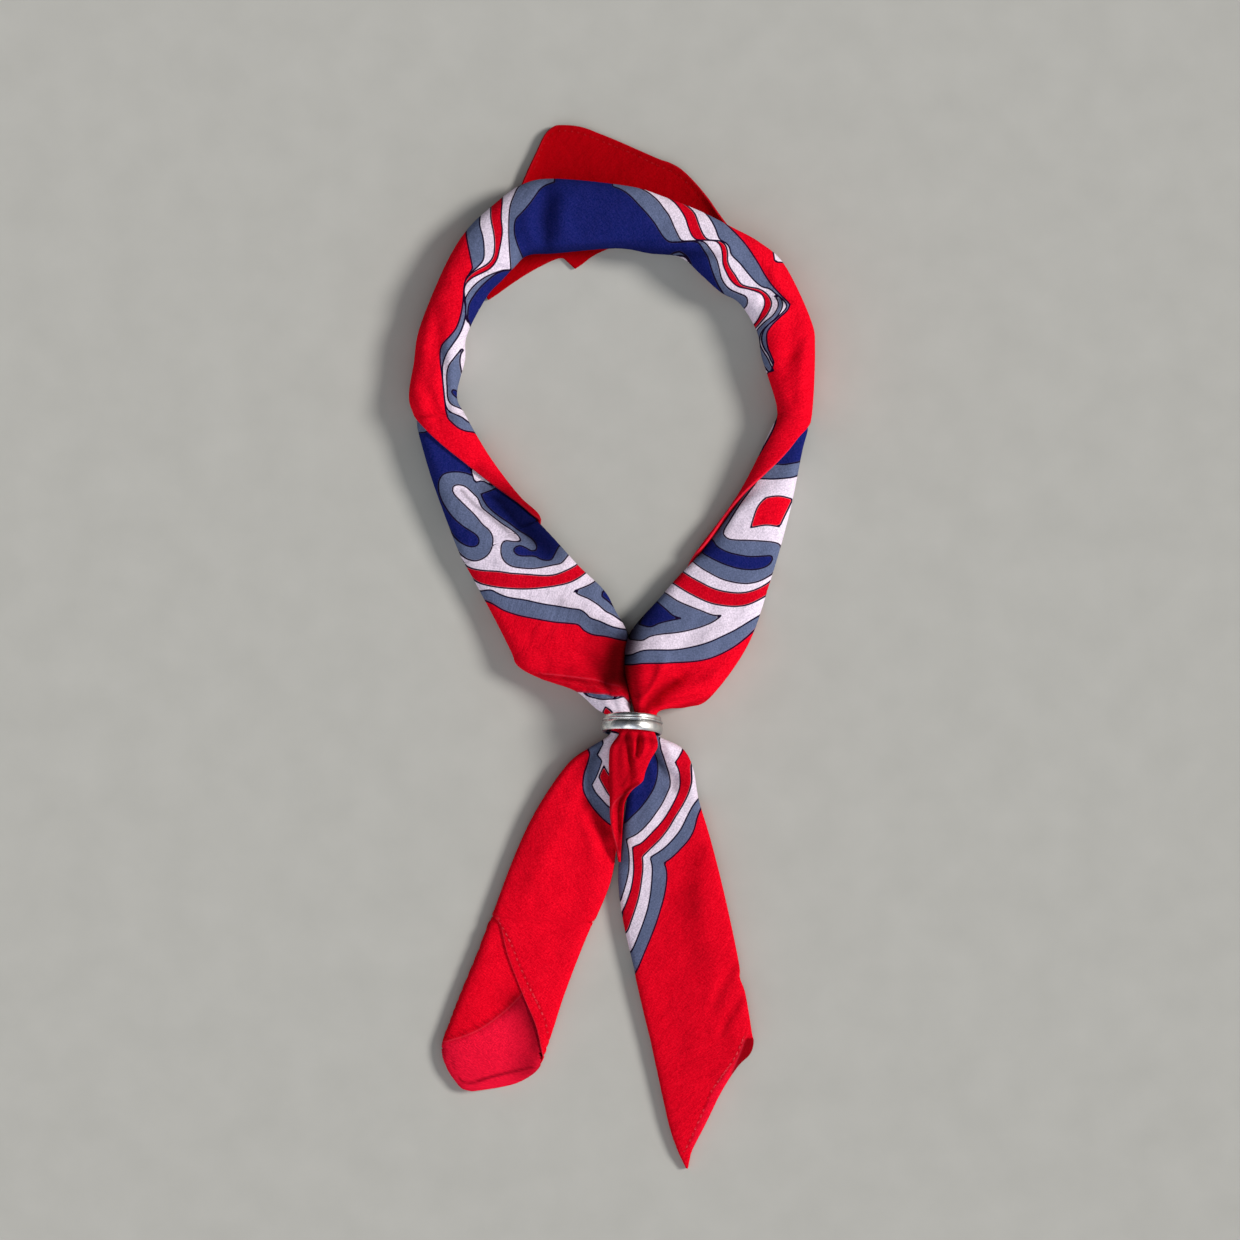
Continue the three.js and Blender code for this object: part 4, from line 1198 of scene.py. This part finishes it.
def in_place_of(node, piece, material):
    """Gives a piece its material and lets it stand for a node."""
    piece.data.materials.append(material)
    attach(piece, "root")
    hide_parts(node)
    return piece


def pale_floor():
    bpy.ops.object.select_all(action="DESELECT")
    bpy.ops.mesh.primitive_plane_add(size=6, location=(0, 0, -0.0003))
    floor = bpy.context.object
    floor.name = "pale_floor"
    finish = Finish("pale_floor")
    grain = finish.noise(finish.node("ShaderNodeTexCoord").outputs["Object"], 60.0, 4.0)
    colour = finish.mix(grain, linear(172, 171, 166), linear(184, 183, 178))
    floor.data.materials.append(finish.finished(colour, Roughness=0.95))


def soft_room():
    """A room that is brighter towards the front, with a soft light near the ceiling's middle."""
    world = bpy.data.worlds.new("soft_room")
    world.use_nodes = True
    room = Nodes(world.node_tree)
    background = room.tree.nodes["Background"]
    background.inputs["Color"].default_value = ROOM_COLOUR
    way = room.node("ShaderNodeTexCoord").outputs["Generated"]
    split = room.node("ShaderNodeSeparateXYZ", {}, {0: way})
    facing = room.node("ShaderNodeVectorMath", {"operation": "DOT_PRODUCT"},
                       {0: way, 1: SOFTBOX_WAY.normalized()})

    def ranged(value, start, end, brightest):
        node = room.node("ShaderNodeMapRange", {}, {
            "Value": value, "From Min": start, "From Max": end, "To Min": 0,
            "To Max": brightest})
        return Value(room, node.outputs["Result"])

    front = ranged(split.outputs["Y"], 1, -1, 1.06)
    softbox = ranged(facing.outputs["Value"], 0.9, 0.955, 0.85)
    room.join(front * front + softbox, background.inputs["Strength"])
    bpy.context.scene.world = world


def window_light():
    """Low, soft sunlight from the right."""
    key = bpy.data.lights.new("window", "SUN")
    key.energy = 3.0
    key.angle = math.radians(16)
    key.color = (1.0, 0.97, 0.93)
    window = bpy.data.objects.new("window", key)
    bpy.context.scene.collection.objects.link(window)
    turn, rise = math.radians(12), math.radians(36)
    towards = Vector((math.cos(turn), math.sin(turn), math.tan(rise)))
    window.rotation_euler = towards.to_track_quat("Z", "Y").to_euler()


def camera_above():
    """A camera that looks straight down."""
    data = bpy.data.cameras.new("above")
    data.sensor_width = SENSOR
    data.lens = SENSOR * (EYE_HEIGHT - CLOTH_HEIGHT) / VIEW_WIDTH
    camera = bpy.data.objects.new("above", data)
    camera.location = (*VIEW_CENTRE, EYE_HEIGHT)
    bpy.context.scene.collection.objects.link(camera)
    bpy.context.scene.camera = camera
    bpy.context.scene.view_settings.view_transform = "Standard"


cotton = printed_cotton()
tail_winding = {"spacing": 1.0, "points": 88, "squareness": TAIL_SQUARENESS,
                "busy": (0.06, 0.5, 2.2), "waves": (17, 6, 0.5)}
neck_roll = in_place_of("neck_roll", wound_piece(
    "neck_roll_cloth", completed(NECK_ROLL), spacing=1.2, points=94, squareness=ROLL_SQUARENESS,
    busy=(0.08, 0.78, 2.8), waves=(15, 5.5, 0.7),
    prints=(FLAP_PRINT, LEFT_FRONT_PRINT, RIGHT_FRONT_PRINT), folds=ROLL_FOLDS, steps=ROLL_STEPS,
    hems=[], edge_highlight=LOBE_HIGHLIGHTS, tints=ROLL_TINTS), cotton)
left_tail = in_place_of("left_tail", wound_piece(
    "left_tail_cloth", completed(LEFT_TAIL), **tail_winding,
    prints=(LEFT_TAIL_PRINT, [], []), folds=LEFT_TAIL_FOLDS, steps=LEFT_TAIL_STEPS,
    hems=LEFT_TAIL_HEMS, edge_highlight=LEFT_TAIL_HIGHLIGHTS, tints=LEFT_TAIL_TINTS), cotton)
right_tail = in_place_of("right_tail", wound_piece(
    "right_tail_cloth", completed(RIGHT_TAIL), **tail_winding,
    prints=(RIGHT_TAIL_PRINT, [], []), folds=RIGHT_TAIL_FOLDS, steps=RIGHT_TAIL_STEPS,
    hems=RIGHT_TAIL_HEMS, edge_highlight=RIGHT_TAIL_HIGHLIGHTS, tints=RIGHT_TAIL_TINTS),
    cotton)
centre_pleat = in_place_of("centre_pleat", wound_piece(
    "centre_pleat_cloth", placed(CENTRE_PLEAT), spacing=0.6, points=56,
    squareness=TAIL_SQUARENESS, busy=(0.06, 0.5, 2.0), waves=(9, 4, 0.35), prints=([], [], []),
    folds=PLEAT_FOLDS, steps=[], hems=[], edge_highlight=PLEAT_HIGHLIGHTS, tints=PLEAT_TINTS),
    cotton)
corner = in_place_of("back_corner", back_corner(), cotton)

in_place_of("slide_ring", slide_ring(), polished_steel())
pale_floor()
soft_room()
window_light()
camera_above()
